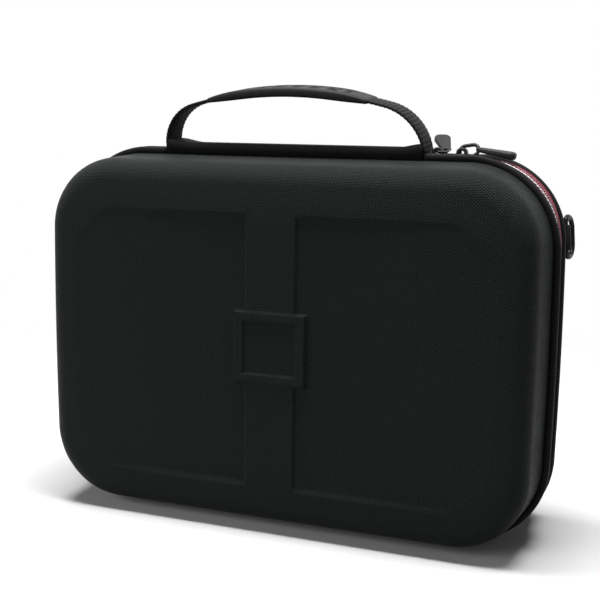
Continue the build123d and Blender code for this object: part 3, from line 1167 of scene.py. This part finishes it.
def trace(start: Vector, heading: float, moves: Sequence[Move], step: float) -> list[tuple[Vector, float, float]]:
    """Follow moves in a plane.

    Args:
        start: First point, in the plane's two coordinates.
        heading: First heading in degrees.
        moves: The moves, one after another.
        step: Greatest distance between two points.

    Returns:
        Points with their heading in radians and the length so far.
    """
    point, angle, along = start.copy(), math.radians(heading), 0.0
    path = [(point.copy(), angle, along)]
    for move in moves:
        count = max(2, math.ceil(move.run / step))
        bend = math.radians(move.turn) / count
        chord = move.run / count if bend == 0 else 2 * move.radius * math.sin(abs(bend) / 2)
        for _ in range(count):
            angle += bend / 2
            point = point + Vector((math.cos(angle), math.sin(angle))) * chord
            angle += bend / 2
            along += move.run / count
            path.append((point.copy(), angle, along))
    return path


@dataclass
class CarryHandle:
    """Webbing strap with a moulded grip."""

    top_radius: float = 250.0
    left_radius: float = 28.0
    right_radius: float = 30.0
    sway: float = 2.5
    strap_width: float = 20.0
    strap_thickness: float = 1.8
    strap_round: float = 0.6
    foot_bend: float = 2.5
    foot_length: float = 22.0
    rib_pitch: float = 2.8
    rib_share: float = 0.13
    step: float = 0.5
    grip_width: float = 25.0
    grip_thickness: float = 5.8
    grip_round: float = 2.2
    grip_length: float = 106.5
    end_taper: float = 24.0
    end_drop: float = 1.5
    end_round: float = 0.9
    end_stops: tuple[float, ...] = (0, 0.1, 0.3, 0.9, 2, 4, 6, 8, 12, 16, 20)
    pocket_count: int = 8
    pocket_pitch: float = 11.4
    pocket_length: float = 7.5
    pocket_width: float = 16.0
    pocket_depth: float = 1.5
    pocket_edge: float = 0.5
    mouth_share: float = 0.45
    lean: float = math.radians(6.0)
    lean_height: float = 9.0

    def __post_init__(self) -> None:
        """Read the strap's place from its solid."""
        low, high = node_box("handle_strap")
        self.centre = (low.x + high.x) / 2
        self.half_span = (high.x - low.x - self.strap_thickness) / 2
        self.top = high.z - self.strap_thickness / 2
        self.foot = low.z + self.strap_thickness / 2

    def shoulder(self, radius: float) -> tuple[float, Move, Move]:
        """Shoulder that rounds off into the arch.

        Args:
            radius: Radius of the shoulder.

        Returns:
            The arch's slope in degrees where they meet, the shoulder's turn and the leg below it.
        """
        reach = self.half_span - radius
        slope = math.asin(reach / (self.top_radius - radius))
        height = self.top - self.top_radius + reach / math.tan(slope) - self.foot - self.foot_bend
        turn = math.degrees(slope) - 90
        return math.degrees(slope), Move(radius=radius, turn=turn), Move(length=height)

    def strap_path(self) -> list[tuple[Vector, float, float]]:
        """Middle line of the strap from foot to foot, in X and Z."""
        left_slope, left_turn, left_leg = self.shoulder(self.left_radius)
        right_slope, right_turn, right_leg = self.shoulder(self.right_radius)
        bend = Move(radius=self.foot_bend, turn=-90)
        foot = Move(length=self.foot_length - self.foot_bend)
        arch = Move(radius=self.top_radius, turn=-left_slope - right_slope)
        start = Vector((self.centre - self.half_span + self.foot_length, self.foot))
        moves = [foot, bend, left_leg, left_turn, arch, right_turn, right_leg, bend, foot]
        return trace(start, 180, moves, self.step)

    def leaned(self, place: Matrix) -> Matrix:
        """Frame leaned to the front and swayed to the left, more the higher it is above the feet."""
        rise = place.translation.z - self.foot
        share = smoothstep(rise / self.lean_height)
        foot = Matrix.Translation((0, 0, self.foot))
        swayed = Matrix.Translation((-self.sway * rise / (self.top - self.foot), 0, 0)) @ place
        return foot @ Matrix.Rotation(self.lean * share, 4, "X") @ foot.inverted() @ swayed

    def build(self, wardrobe: Wardrobe) -> None:
        """Weave the strap and mould the grip round it."""
        frames, alongs = [], []
        for spot, angle, along in self.strap_path():
            out = Vector((-math.sin(angle), 0, math.cos(angle)))
            # The webbing finish paints its stripes lighter on these crests and darker in the grooves: painted
            # light and shade in step with the ribs.
            rib = 1 + self.rib_share * math.cos(2 * math.pi * along / self.rib_pitch)
            place = frame_at(Station(Vector((spot.x, 0, spot.y)), out, along), Vector((0, 1, 0)))
            frames.append(self.leaned(place) @ Matrix.Diagonal((rib, 1, 1, 1)))
            alongs.append(along)
        outline = rounded_profile(self.strap_thickness, self.strap_width, self.strap_round, 2)
        bm = swept(outline, frames, alongs)
        Piece("webbing_strap", Body.HANDLE, (Finish.WEBBING,), ("handle_strap",)).finish(bm, wardrobe)
        self.build_grip(wardrobe)

    def grip_stops(self, half: float) -> list[float]:
        """Places of the grip's sections along its length, with one on each pocket's edge."""
        stops = {sign * (half - e) for sign in (-1, 1) for e in self.end_stops}
        for i in range(self.pocket_count):
            centre = (i - (self.pocket_count - 1) / 2) * self.pocket_pitch
            stops.update(centre + share * self.pocket_length / 2 for share in (-1, 0, 1))
        return sorted(stops)

    def build_grip(self, wardrobe: Wardrobe) -> None:
        """Mould the grip: a tapered bar on the strap's arch with a row of pockets on top, their floors darkened
        with painted shade.
        """
        half = self.grip_length / 2
        centre = Vector((self.centre, 0, self.top - self.top_radius))
        stops, frames = self.grip_stops(half), []
        for place in stops:
            end = half - abs(place)
            drop = self.end_drop * max(0.0, 1 - end / self.end_taper) ** 2
            if end < self.end_round:
                drop += self.end_round - math.sqrt(self.end_round**2 - (self.end_round - end) ** 2)
            angle = place / self.top_radius
            out = Vector((math.sin(angle), 0, math.cos(angle)))
            at = frame_at(Station(centre + out * self.top_radius, out, place), Vector((0, 1, 0)))
            thin, narrow = 1 - 2 * drop / self.grip_thickness, 1 - 2 * drop / self.grip_width
            frames.append(at @ Matrix.Diagonal((thin, narrow, 1, 1)))
        outline = rounded_profile(self.grip_thickness, self.grip_width, self.grip_round)
        lip = self.pocket_width / 2
        split = [(self.grip_thickness / 2, y) for y in (-lip, lip)]
        bm = swept([split[1], *outline, split[0]], frames, stops)
        pockets = [face for face in bm.faces if self.in_pocket(face, centre)]
        bmesh.ops.inset_region(bm, faces=pockets, thickness=self.pocket_edge, use_even_offset=True)
        # The pocket floors take the second finish, whose darker colour is painted shade.
        for face in pockets:
            face.material_index = 1
        floor = {vert for face in pockets for vert in face.verts}
        for vert in floor:
            vert.co -= (Vector((vert.co.x, 0, vert.co.z)) - centre).normalized() * self.pocket_depth
        crest = Matrix.Translation((0, 0, self.top))
        bmesh.ops.transform(bm, matrix=self.leaned(crest) @ crest.inverted(), verts=bm.verts)
        Piece("moulded_grip", Body.HANDLE, (Finish.GRIP, Finish.POCKET_SHADE), ("handle_grip",)).finish(bm, wardrobe)

    def in_pocket(self, face: BMFace, centre: Vector) -> bool:
        """Whether a face of the grip is the mouth of a pocket."""
        spot = face.calc_center_median() - centre
        place = math.atan2(spot.x, spot.z) * self.top_radius
        reach = (self.pocket_count - 1) / 2 * self.pocket_pitch + self.pocket_length / 2
        offset = (place + reach) % self.pocket_pitch
        top = self.top_radius + self.mouth_share * self.grip_thickness
        on_top = Vector((spot.x, 0, spot.z)).length > top
        in_width = abs(spot.y) < self.pocket_width / 2
        return on_top and in_width and abs(place) < reach and offset < self.pocket_length


@dataclass
class PullTab:
    """Rubber tab of a zip pull: a long pill with a sunk face, moulded round the ring's wire."""

    node: str
    body: Body
    eye: Vector
    along: Vector
    roll: float = 0.0
    length: float = 24.0
    back: float = 1.4
    width: float = 9.0
    thickness: float = 4.2
    taper: float = 11.0
    taper_share: float = 0.55
    corner: float = 3.6
    edge: float = 1.3
    face_border: float = 1.3
    face_sink: float = 0.35

    def build(self, wardrobe: Wardrobe) -> None:
        """Mould the tab and lay it along its direction."""
        bm = bmesh.new()
        bmesh.ops.create_cube(bm, size=1.0)
        bmesh.ops.scale(bm, vec=(self.length, self.width, self.thickness), verts=bm.verts)
        bmesh.ops.translate(bm, vec=(self.length / 2 - self.back, 0, 0), verts=bm.verts)
        upright = [e for e in bm.edges if abs((e.verts[0].co - e.verts[1].co).z) > self.thickness / 2]
        bmesh.ops.bevel(bm, geom=upright, offset=self.corner, affect="EDGES", segments=5, profile=0.5, material=-1)
        rims = [e for e in bm.edges if len({round(v.co.z, 3) for v in e.verts}) == 1]
        bmesh.ops.bevel(bm, geom=rims, offset=self.edge, affect="EDGES", segments=3, profile=0.5, material=-1)
        crown = max(bm.faces, key=lambda face: face.calc_center_median().z + face.calc_area() * MM)
        bmesh.ops.inset_region(bm, faces=[crown], thickness=self.face_border, depth=0.0)
        bmesh.ops.translate(bm, vec=(0, 0, -self.face_sink), verts=crown.verts)
        for vert in bm.verts:
            share = mixed(self.taper_share, 1.0, smoothstep((vert.co.x + self.back) / self.taper))
            vert.co.y, vert.co.z = vert.co.y * share, vert.co.z * share
        side = Vector((0, 0, 1)).cross(self.along).normalized()
        up = self.along.cross(side)
        place = Matrix((self.along, side, up)).transposed().to_4x4()
        lay = Matrix.Translation(self.eye) @ place @ Matrix.Rotation(math.radians(self.roll), 4, "X")
        bmesh.ops.transform(bm, matrix=lay, verts=bm.verts)
        Piece(f"{self.node}_rubber", self.body, (Finish.TAB,), (self.node,)).finish(bm, wardrobe)


@dataclass
class RingLoop:
    """Webbing folded round the bar of a ring for a shoulder strap."""

    node: str
    mirror: int
    flange: Flange
    width: float = 15.0
    thickness: float = 1.2
    bar_radius: float = 1.5
    clearance: float = 0.3
    seat_gap: float = 0.2
    rim_inset: float = 4.2
    set_back: float = 15.5
    tail: float = 4.1
    angle: float = 4.5
    close_turn: float = 70.0
    close_radius: float = 1.2
    tail_gap: float = 0.1
    edge_round: float = 0.4
    rib_pitch: float = 2.2
    rib_share: float = 0.15
    step: float = 0.35

    def build(self, wardrobe: Wardrobe) -> None:
        """Fold the loop and sew its two tails against the wall."""
        radius = self.bar_radius + self.clearance + self.thickness / 2
        away = self.bar_radius + self.clearance + self.thickness + self.seat_gap
        turn = math.radians(self.close_turn)
        span = radius * math.cos(turn) + radius - self.thickness - self.tail_gap
        link = (span - self.close_radius * (1 - math.cos(turn))) / math.sin(turn)
        moves = [
            Move(length=self.tail),
            Move(radius=radius, turn=-180 - self.close_turn),
            Move(length=link),
            Move(radius=self.close_radius, turn=self.close_turn),
        ]
        lean = math.radians(self.angle)
        out = Vector((self.mirror * math.cos(lean), 0, math.sin(lean)))
        bar = Vector((-self.mirror * math.sin(lean), 0, math.cos(lean)))
        height = self.flange.half_height + self.flange.arc_z
        seat = Vector((self.mirror * self.flange.arc_x, self.set_back, height))
        seat += out * (self.flange.corner_radius - self.rim_inset + away)
        frames, alongs = [], []
        for spot, angle, along in trace(Vector((-radius, -self.tail)), 90, moves, self.step):
            normal = Vector((-math.sin(angle), math.cos(angle)))
            point = seat + out * spot.x + Vector((0, spot.y, 0))
            facing = out * normal.x + Vector((0, normal.y, 0))
            rib = 1 + self.rib_share * math.cos(2 * math.pi * along / self.rib_pitch)
            frames.append(frame_at(Station(point, facing, along), bar) @ Matrix.Diagonal((rib, 1, 1, 1)))
            alongs.append(along)
        bm = swept(rounded_profile(self.thickness, self.width, self.edge_round, 2), frames, alongs)
        Piece(f"{self.node}_webbing", Body.BASE, (Finish.WEBBING,), (self.node,)).finish(bm, wardrobe)


@dataclass(frozen=True)
class Recess:
    """A rounded hollow in the tray."""

    x: float
    z: float
    width: float
    height: float
    depth: float
    corner: float = 9.0
    soft: float = 5.0

    def sink(self, x: float, z: float) -> float:
        """Depth of the hollow at a place."""
        beyond_x = abs(x - self.x) - self.width / 2 + self.corner
        beyond_z = abs(z - self.z) - self.height / 2 + self.corner
        outside = math.hypot(max(beyond_x, 0.0), max(beyond_z, 0.0)) + min(max(beyond_x, beyond_z), 0.0)
        return self.depth * smoothstep((self.corner - outside) / self.soft)


@dataclass
class Interior:
    """Moulded tray in the rear half, and the lid's pad and mesh pocket."""

    flange: Flange
    tray_wall: float = 2.6
    tray_floor: float = 3.0
    console_recess: Recess = Recess(0, 38, 250, 106, 20)
    pouch_x: float = 65.0
    pouch_z: float = -62.0
    pouch_width: float = 118.0
    pouch_height: float = 62.0
    pad_base: float = 0.3
    pad_soft: float = 9.0
    pad_edge: float = 22.0
    seam_inset: float = 12.0
    seam_width: float = 2.2
    seam_sink: float = 1.0
    cell: float = 2.4
    pocket_bulge: float = 2.0
    band_round: float = 1.1
    band_step: float = 1.0
    band_rib_share: float = 0.14
    band_rib_pitch: float = 4.0

    def sheet(self, inset: float, shape: Callable) -> BMesh:
        """Sheet inside the flange line, pressed to a shape.

        Args:
            inset: Distance of its edge from the flange line.
            shape: Takes a place from the middle and gives its point.

        Returns:
            The open sheet.
        """
        flange = self.flange
        spread = flange.corner_radius - inset
        return pressed(
            flange.arc_x + spread,
            flange.arc_z + spread,
            self.cell,
            lambda x, z: round_off(x, z, flange.arc_x, flange.arc_z),
            shape,
        )

    def build_tray(self, wardrobe: Wardrobe) -> None:
        """Press the tray with its console recess and two accessory recesses."""
        low, high = node_box("console_tray")
        inset = self.flange.half_width - high.x
        deep = high.y - low.y - self.tray_floor
        recesses = [self.console_recess]
        for x in (-self.pouch_x, self.pouch_x):
            recesses.append(Recess(x, self.pouch_z, self.pouch_width, self.pouch_height, deep))

        def shape(x: float, z: float) -> Vector:
            sink = max(recess.sink(x, z) for recess in recesses)
            return Vector((x, low.y + sink, self.flange.half_height + z))

        bm = self.sheet(inset, shape)
        tray = Piece("lined_tray", Body.BASE, (Finish.LINING,), ("console_tray",)).finish(bm, wardrobe)
        thicken(tray, self.tray_wall)

    def build_pad(self, wardrobe: Wardrobe) -> None:
        """Fill the pad on the inside of the lid, with a sewn border."""
        low, high = node_box("lid_pad")
        full = high.y - low.y - self.pad_base

        def shape(x: float, z: float) -> Vector:
            _, reach = self.flange.outward(x, z)
            inside = self.flange.corner_radius - self.pad_edge - reach
            crown = math.sqrt(max(0.0, 1 - (1 - min(inside / self.pad_soft, 1.0)) ** 2))
            seam = self.seam_sink * (1 - smoothstep(abs(inside - self.seam_inset) / self.seam_width))
            return Vector((-x, low.y + self.pad_base + full * crown - seam, self.flange.half_height + z))

        bm = self.sheet(self.pad_edge, shape)
        made = bmesh.ops.extrude_edge_only(bm, edges=boundary(bm))["geom"]
        back = [item for item in made if isinstance(item, BMVert)]
        bmesh.ops.translate(bm, vec=(0, -self.pad_base, 0), verts=back)
        bmesh.ops.holes_fill(bm, edges=boundary(bm), sides=0)
        bmesh.ops.recalc_face_normals(bm, faces=bm.faces)
        pad = Piece("quilted_lid_pad", Body.LID, (Finish.LINING,), ("lid_pad",)).finish(bm, wardrobe)

    def build_pocket(self, wardrobe: Wardrobe) -> None:
        """Stretch the mesh across the lower lid and fold the elastic over its mouth."""
        low, high = node_box("lid_pocket")
        half_x, half_z = (high.x - low.x) / 2, (high.z - low.z) / 2
        middle_z, depth = (high.z + low.z) / 2, (high.y + low.y) / 2
        centre_x = self.flange.arc_x
        centre_z = half_z - (self.flange.corner_radius - low.z)

        def fold(x: float, z: float) -> tuple[float, float]:
            return round_off(x, z, centre_x, centre_z) if z < 0 else (x, z)

        def shape(x: float, z: float) -> Vector:
            belly = max(0.0, 1 - (x / half_x) ** 2) * max(0.0, 1 - (z / half_z) ** 2)
            return Vector((x, depth - self.pocket_bulge * belly, middle_z + z))

        bm = pressed(half_x, half_z, self.cell, fold, shape)
        area = sum(face.calc_area() for face in bm.faces) * MM * MM
        mesh = Piece("mesh_pocket", Body.LID, (Finish.MESH,), ("lid_pocket",)).finish(bm, wardrobe)
        band = self.build_band(wardrobe)

    def build_band(self, wardrobe: Wardrobe) -> bpy.types.Object:
        """Elastic band folded over the pocket's mouth, gathered in small ribs."""
        low, high = node_box("pocket_edge")
        middle = (low + high) / 2
        outline = rounded_profile(high.z - low.z, high.y - low.y, self.band_round, 3)
        count = round((high.x - low.x) / self.band_step)
        frames, alongs = [], []
        for i in range(count + 1):
            x = mixed(low.x, high.x, i / count)
            rib = 1 + self.band_rib_share * math.cos(2 * math.pi * x / self.band_rib_pitch)
            stop = Station(Vector((x, middle.y, middle.z)), Vector((0, 0, 1)), x)
            frames.append(frame_at(stop, Vector((0, 1, 0))) @ Matrix.Diagonal((1, rib, 1, 1)))
            alongs.append(x)
        bm = swept(outline, frames, alongs)
        return Piece("pocket_elastic", Body.LID, (Finish.ELASTIC,), ("pocket_edge",)).finish(bm, wardrobe)

    def build(self, wardrobe: Wardrobe) -> None:
        """Fit out both halves."""
        self.build_tray(wardrobe)
        self.build_pad(wardrobe)
        self.build_pocket(wardrobe)


# The studio


@dataclass(frozen=True)
class Softbox:
    """A large lamp aimed at the middle of the case."""

    name: str
    place: tuple[float, float, float]
    width: float
    depth: float
    power: float

    def build(self, target: Vector) -> None:
        """Hang the lamp and aim it."""
        data = bpy.data.lights.new(self.name, "AREA")
        data.shape = "RECTANGLE"
        data.size, data.size_y = self.width, self.depth
        data.energy = self.power
        lamp = bpy.data.objects.new(self.name, data)
        lamp.location = self.place
        lamp.rotation_euler = (target - lamp.location).to_track_quat("-Z", "Y").to_euler()
        bpy.context.scene.collection.objects.link(lamp)


@dataclass
class Studio:
    """Pale floor, soft light and the camera of the photograph."""

    target: Vector
    azimuth: float = 21.21
    elevation: float = 9.43
    roll: float = 0.8
    distance: float = 0.70646
    shift_right: float = -0.00116
    shift_up: float = 0.02173
    lens: float = 66.0
    sensor: float = 36.0
    floor_size: float = 8.0
    floor_solid: float = 0.22
    floor_gone: float = 0.75
    floor_tone: Tone = (0.86, 0.86, 0.86)
    floor_bounce: Tone = (0.18, 0.18, 0.18)
    floor_rough: float = 0.9
    ambient: float = 0.05
    lamps: tuple[Softbox, ...] = (
        Softbox("overhead_softbox", (0.0, -0.06, 1.4), 1.0, 0.4, 32.0),
        Softbox("left_softbox", (-0.85, -1.35, 0.7), 0.8, 0.8, 8.5),
        Softbox("right_softbox", (1.1, 0.95, 0.5), 0.6, 0.6, 1.0),
    )

    def build(self) -> None:
        """Set up the world, the floor, the lamps and the camera."""
        bpy.context.scene.view_settings.view_transform = "Standard"
        self.build_world()
        self.build_floor()
        for lamp in self.lamps:
            lamp.build(self.target)
        self.build_camera()

    def build_world(self) -> None:
        """White to the camera and in reflections, dimmer as light."""
        world = bpy.data.worlds.new("studio")
        bpy.context.scene.world = world
        world.use_nodes = True
        wiring = Wiring(world.node_tree)
        made = world.node_tree.nodes["Background"]
        made.inputs["Color"].default_value = (1, 1, 1, 1)
        wiring.feed(made.inputs["Strength"], wiring.ranged(wiring.showing(), self.ambient, 1.0))

    def build_floor(self) -> None:
        """Pale floor that fades into the white of the studio."""
        bm = bmesh.new()
        bmesh.ops.create_grid(bm, x_segments=2, y_segments=2, size=self.floor_size / 2)
        data = bpy.data.meshes.new("floor")
        bm.to_mesh(data)
        bm.free()
        floor = bpy.data.objects.new("floor", data)
        bpy.context.scene.collection.objects.link(floor)
        material, wiring, shader = new_material("pale_floor")
        shader.inputs["Roughness"].default_value = self.floor_rough
        shader.inputs["Specular IOR Level"].default_value = 0.0
        place = wiring.node("ShaderNodeTexCoord")
        reach = wiring.node("ShaderNodeVectorMath", operation="LENGTH")
        wiring.feed(reach.inputs[0], place.outputs["Object"])
        fade = wiring.node("ShaderNodeMapRange", interpolation_type="SMOOTHSTEP")
        wiring.feed(fade.inputs["Value"], reach.outputs["Value"])
        fade.inputs["From Min"].default_value = self.floor_solid
        fade.inputs["From Max"].default_value = self.floor_gone
        path = wiring.node("ShaderNodeLightPath")
        tone = wiring.two_tone(wiring.showing(), self.floor_bounce, self.floor_tone)
        wiring.feed(shader.inputs["Base Color"], tone)
        hidden = wiring.math("MULTIPLY", fade.outputs["Result"], path.outputs["Is Camera Ray"])
        wiring.feed(shader.inputs["Alpha"], wiring.math("SUBTRACT", 1.0, hidden))
        data.materials.append(material)
        floor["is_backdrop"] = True

    def build_camera(self) -> None:
        """Camera at the photograph's place, with its slight roll."""
        azimuth, elevation, roll = (math.radians(a) for a in (self.azimuth, self.elevation, self.roll))
        level = math.cos(elevation)
        back = Vector((math.sin(azimuth) * level, -math.cos(azimuth) * level, math.sin(elevation)))
        right = Vector((math.cos(azimuth), math.sin(azimuth), 0.0))
        up = back.cross(right)
        place = self.target + back * self.distance + right * self.shift_right + up * self.shift_up
        turned = Matrix.Rotation(roll, 3, back)
        axes = Matrix((turned @ right, turned @ up, back)).transposed()
        data = bpy.data.cameras.new("photo_camera")
        data.lens, data.sensor_width, data.sensor_fit = self.lens, self.sensor, "HORIZONTAL"
        camera = bpy.data.objects.new("photo_camera", data)
        camera.matrix_world = Matrix.Translation(place) @ axes.to_4x4()
        bpy.context.scene.collection.objects.link(camera)
        bpy.context.scene.camera = camera


@dataclass
class WireRing:
    """Wire ring between a slider and its tab."""

    node: str
    body: Body
    seat: Vector
    eye: Vector
    roll: float
    wire: float = 2.2
    width: float = 7.4
    bend: float = 3.4
    overhang: float = 1.4
    step: float = 0.5
    wire_steps: int = 12

    def build(self, wardrobe: Wardrobe) -> None:
        """Bend the wire into a ring from the bridge to the tab's eye."""
        reach = (self.eye - self.seat).length + self.overhang
        along, corner = Move(length=reach / 2 - self.bend), Move(radius=self.bend, turn=90)
        end = Move(length=self.width - 2 * self.bend)
        moves = [along, corner, end, corner, along, along, corner, end, corner, along]
        forward = (self.eye - self.seat).normalized()
        lay = Matrix.Rotation(math.radians(self.roll), 3, forward)
        across = lay @ Vector((0, 1, 0))
        up = forward.cross(across)
        frames, alongs = [], []
        for spot, angle, run in trace(Vector((reach / 2, -self.width / 2)), 0, moves, self.step):
            point = self.seat + forward * (spot.x - self.overhang) + across * spot.y
            out = across * math.cos(angle) - forward * math.sin(angle)
            frames.append(frame_at(Station(point, out, run), up))
            alongs.append(run)
        turns = (2 * math.pi * i / self.wire_steps for i in range(self.wire_steps))
        outline = [(self.wire / 2 * math.cos(turn), self.wire / 2 * math.sin(turn)) for turn in turns]
        bm = swept(outline, frames, alongs)
        Piece(f"{self.node}_wire", self.body, (Finish.SLIDER,), (self.node,)).finish(bm, wardrobe)


@dataclass
class Slider:
    """Zip slider: two plates joined by a post, with a heavy bridge for the pull."""

    node: str
    body: Body
    plate: float = 1.5
    waist: float = 1.4
    post: float = 1.5
    bridge_width: float = 4.4
    bridge_wall: float = 1.9
    bridge_span: float = 4.8
    bridge_bend: float = 2.1
    bridge_height: float = 3.9
    bridge_round: float = 0.45
    step: float = 0.4

    def plates(self, bm: BMesh, low: Vector, high: Vector) -> None:
        """Add the plates and the post.

        Args:
            bm: The mesh to add to.
            low: Lowest corner of the plates.
            high: Highest corner of the plates.
        """
        middle = (low + high) / 2
        for z in (low.z + self.plate / 2, high.z - self.plate / 2):
            made = bmesh.ops.create_cube(bm, size=1.0)["verts"]
            bmesh.ops.scale(bm, vec=(high.x - low.x, high.y - low.y, self.plate), verts=made)
            upright = [e for e in {e for v in made for e in v.link_edges} if e.verts[0].co.z * e.verts[1].co.z < 0]
            made = bmesh.ops.bevel(
                bm, geom=upright, offset=self.waist, affect="EDGES", segments=3, profile=0.5, material=-1
            )["verts"]
            body = {v for vert in made for face in vert.link_faces for v in face.verts}
            bmesh.ops.translate(bm, vec=(middle.x, middle.y, z), verts=list(body))
        made = bmesh.ops.create_cube(bm, size=1.0)["verts"]
        bmesh.ops.scale(bm, vec=(self.post * 2, self.post, high.z - low.z - self.plate), verts=made)
        bmesh.ops.translate(bm, vec=middle, verts=made)

    def build(self, wardrobe: Wardrobe) -> None:
        """Cast the slider and bend its bridge."""
        low, high = node_box(self.node)
        middle = (low + high) / 2
        rise = high.z - self.bridge_wall / 2
        plate_top = high.z - self.bridge_height
        leg = Move(length=rise - self.bridge_bend - plate_top)
        bend = Move(radius=self.bridge_bend, turn=-90)
        moves = [leg, bend, Move(length=self.bridge_span - 2 * self.bridge_bend), bend, leg]
        frames, alongs = [], []
        for spot, angle, run in trace(Vector((-self.bridge_span / 2, plate_top)), 90, moves, self.step):
            out = Vector((-math.sin(angle), 0, math.cos(angle)))
            point = Vector((middle.x + spot.x, middle.y, spot.y))
            frames.append(frame_at(Station(point, out, run), Vector((0, 1, 0))))
            alongs.append(run)
        bm = swept(rounded_profile(self.bridge_wall, self.bridge_width, self.bridge_round, 2), frames, alongs)
        self.plates(bm, low, Vector((high.x, high.y, plate_top)))
        bmesh.ops.recalc_face_normals(bm, faces=bm.faces)
        Piece(f"{self.node}_cast", self.body, (Finish.SLIDER,), (self.node,)).finish(bm, wardrobe)


@dataclass
class Pulls:
    """The two zip pulls: sliders and rings of painted metal with rubber tabs."""

    outer_droop: float = math.radians(9.5)
    outer_roll: float = 4.0
    ring_roll: float = 58.0
    inner_lift: float = math.radians(25.0)
    inner_yaw: float = math.radians(25.0)
    inner_length: float = 18.0
    inner_width: float = 10.0

    @staticmethod
    def pivot(joint: str) -> Vector:
        """Place of a joint of the frame, in millimetres."""
        found = next(item for item in frame["joints"] if item["name"] == joint)
        return Vector(found["pos_m"]) / MM

    def build(self, wardrobe: Wardrobe) -> None:
        """Dress the metal, bend the outer ring and mould the tabs."""
        wardrobe.dress_solid("pull_link_inner", Finish.SLIDER)
        Slider("slider_inner", Body.SLIDER_INNER).build(wardrobe)
        Slider("slider_outer", Body.SLIDER_OUTER).build(wardrobe)
        seat, eye = self.pivot("outer_link_swing"), self.pivot("outer_tab_swing")
        WireRing("pull_link_outer", Body.LINK_OUTER, seat, eye, self.ring_roll).build(wardrobe)
        along = Vector((math.cos(self.outer_droop), 0, -math.sin(self.outer_droop)))
        PullTab("pull_tab_outer", Body.TAB_OUTER, eye, along, self.outer_roll).build(wardrobe)
        flat = math.cos(self.inner_lift)
        aside, behind = -flat * math.sin(self.inner_yaw), flat * math.cos(self.inner_yaw)
        along = Vector((aside, behind, math.sin(self.inner_lift)))
        eye = self.pivot("inner_tab_swing")
        PullTab(
            "pull_tab_inner", Body.TAB_INNER, eye, along, length=self.inner_length, width=self.inner_width
        ).build(wardrobe)


def keep_sizes() -> None:
    """Measure the box of the solids and the box of the dressed case."""
    boxes = {"cad": CAD_BOX, "visual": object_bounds()}
    plain = {name: [list(corner) for corner in box] for name, box in boxes.items()}


def main() -> None:
    """Build the case piece by piece, then the studio."""
    logging.basicConfig(level=logging.INFO, format="%(name)s: %(message)s")
    wardrobe = Wardrobe()
    flange = Flange.from_frame()
    for half in Half:
        HalfShell(half, flange).build(wardrobe)
        ZipFlange(half, flange).build(wardrobe)
    Spine().build(wardrobe)
    CarryHandle().build(wardrobe)
    Pulls().build(wardrobe)
    for mirror, word in ((1, "right"), (-1, "left")):
        RingLoop(f"ring_loop_{word}", mirror, flange).build(wardrobe)
        wardrobe.dress_solid(f"d_ring_{word}", Finish.RING)
    Interior(flange).build(wardrobe)
    Studio(Vector((0, 0, flange.half_height * MM))).build()
    keep_sizes()


if __name__ == "__main__":
    main()
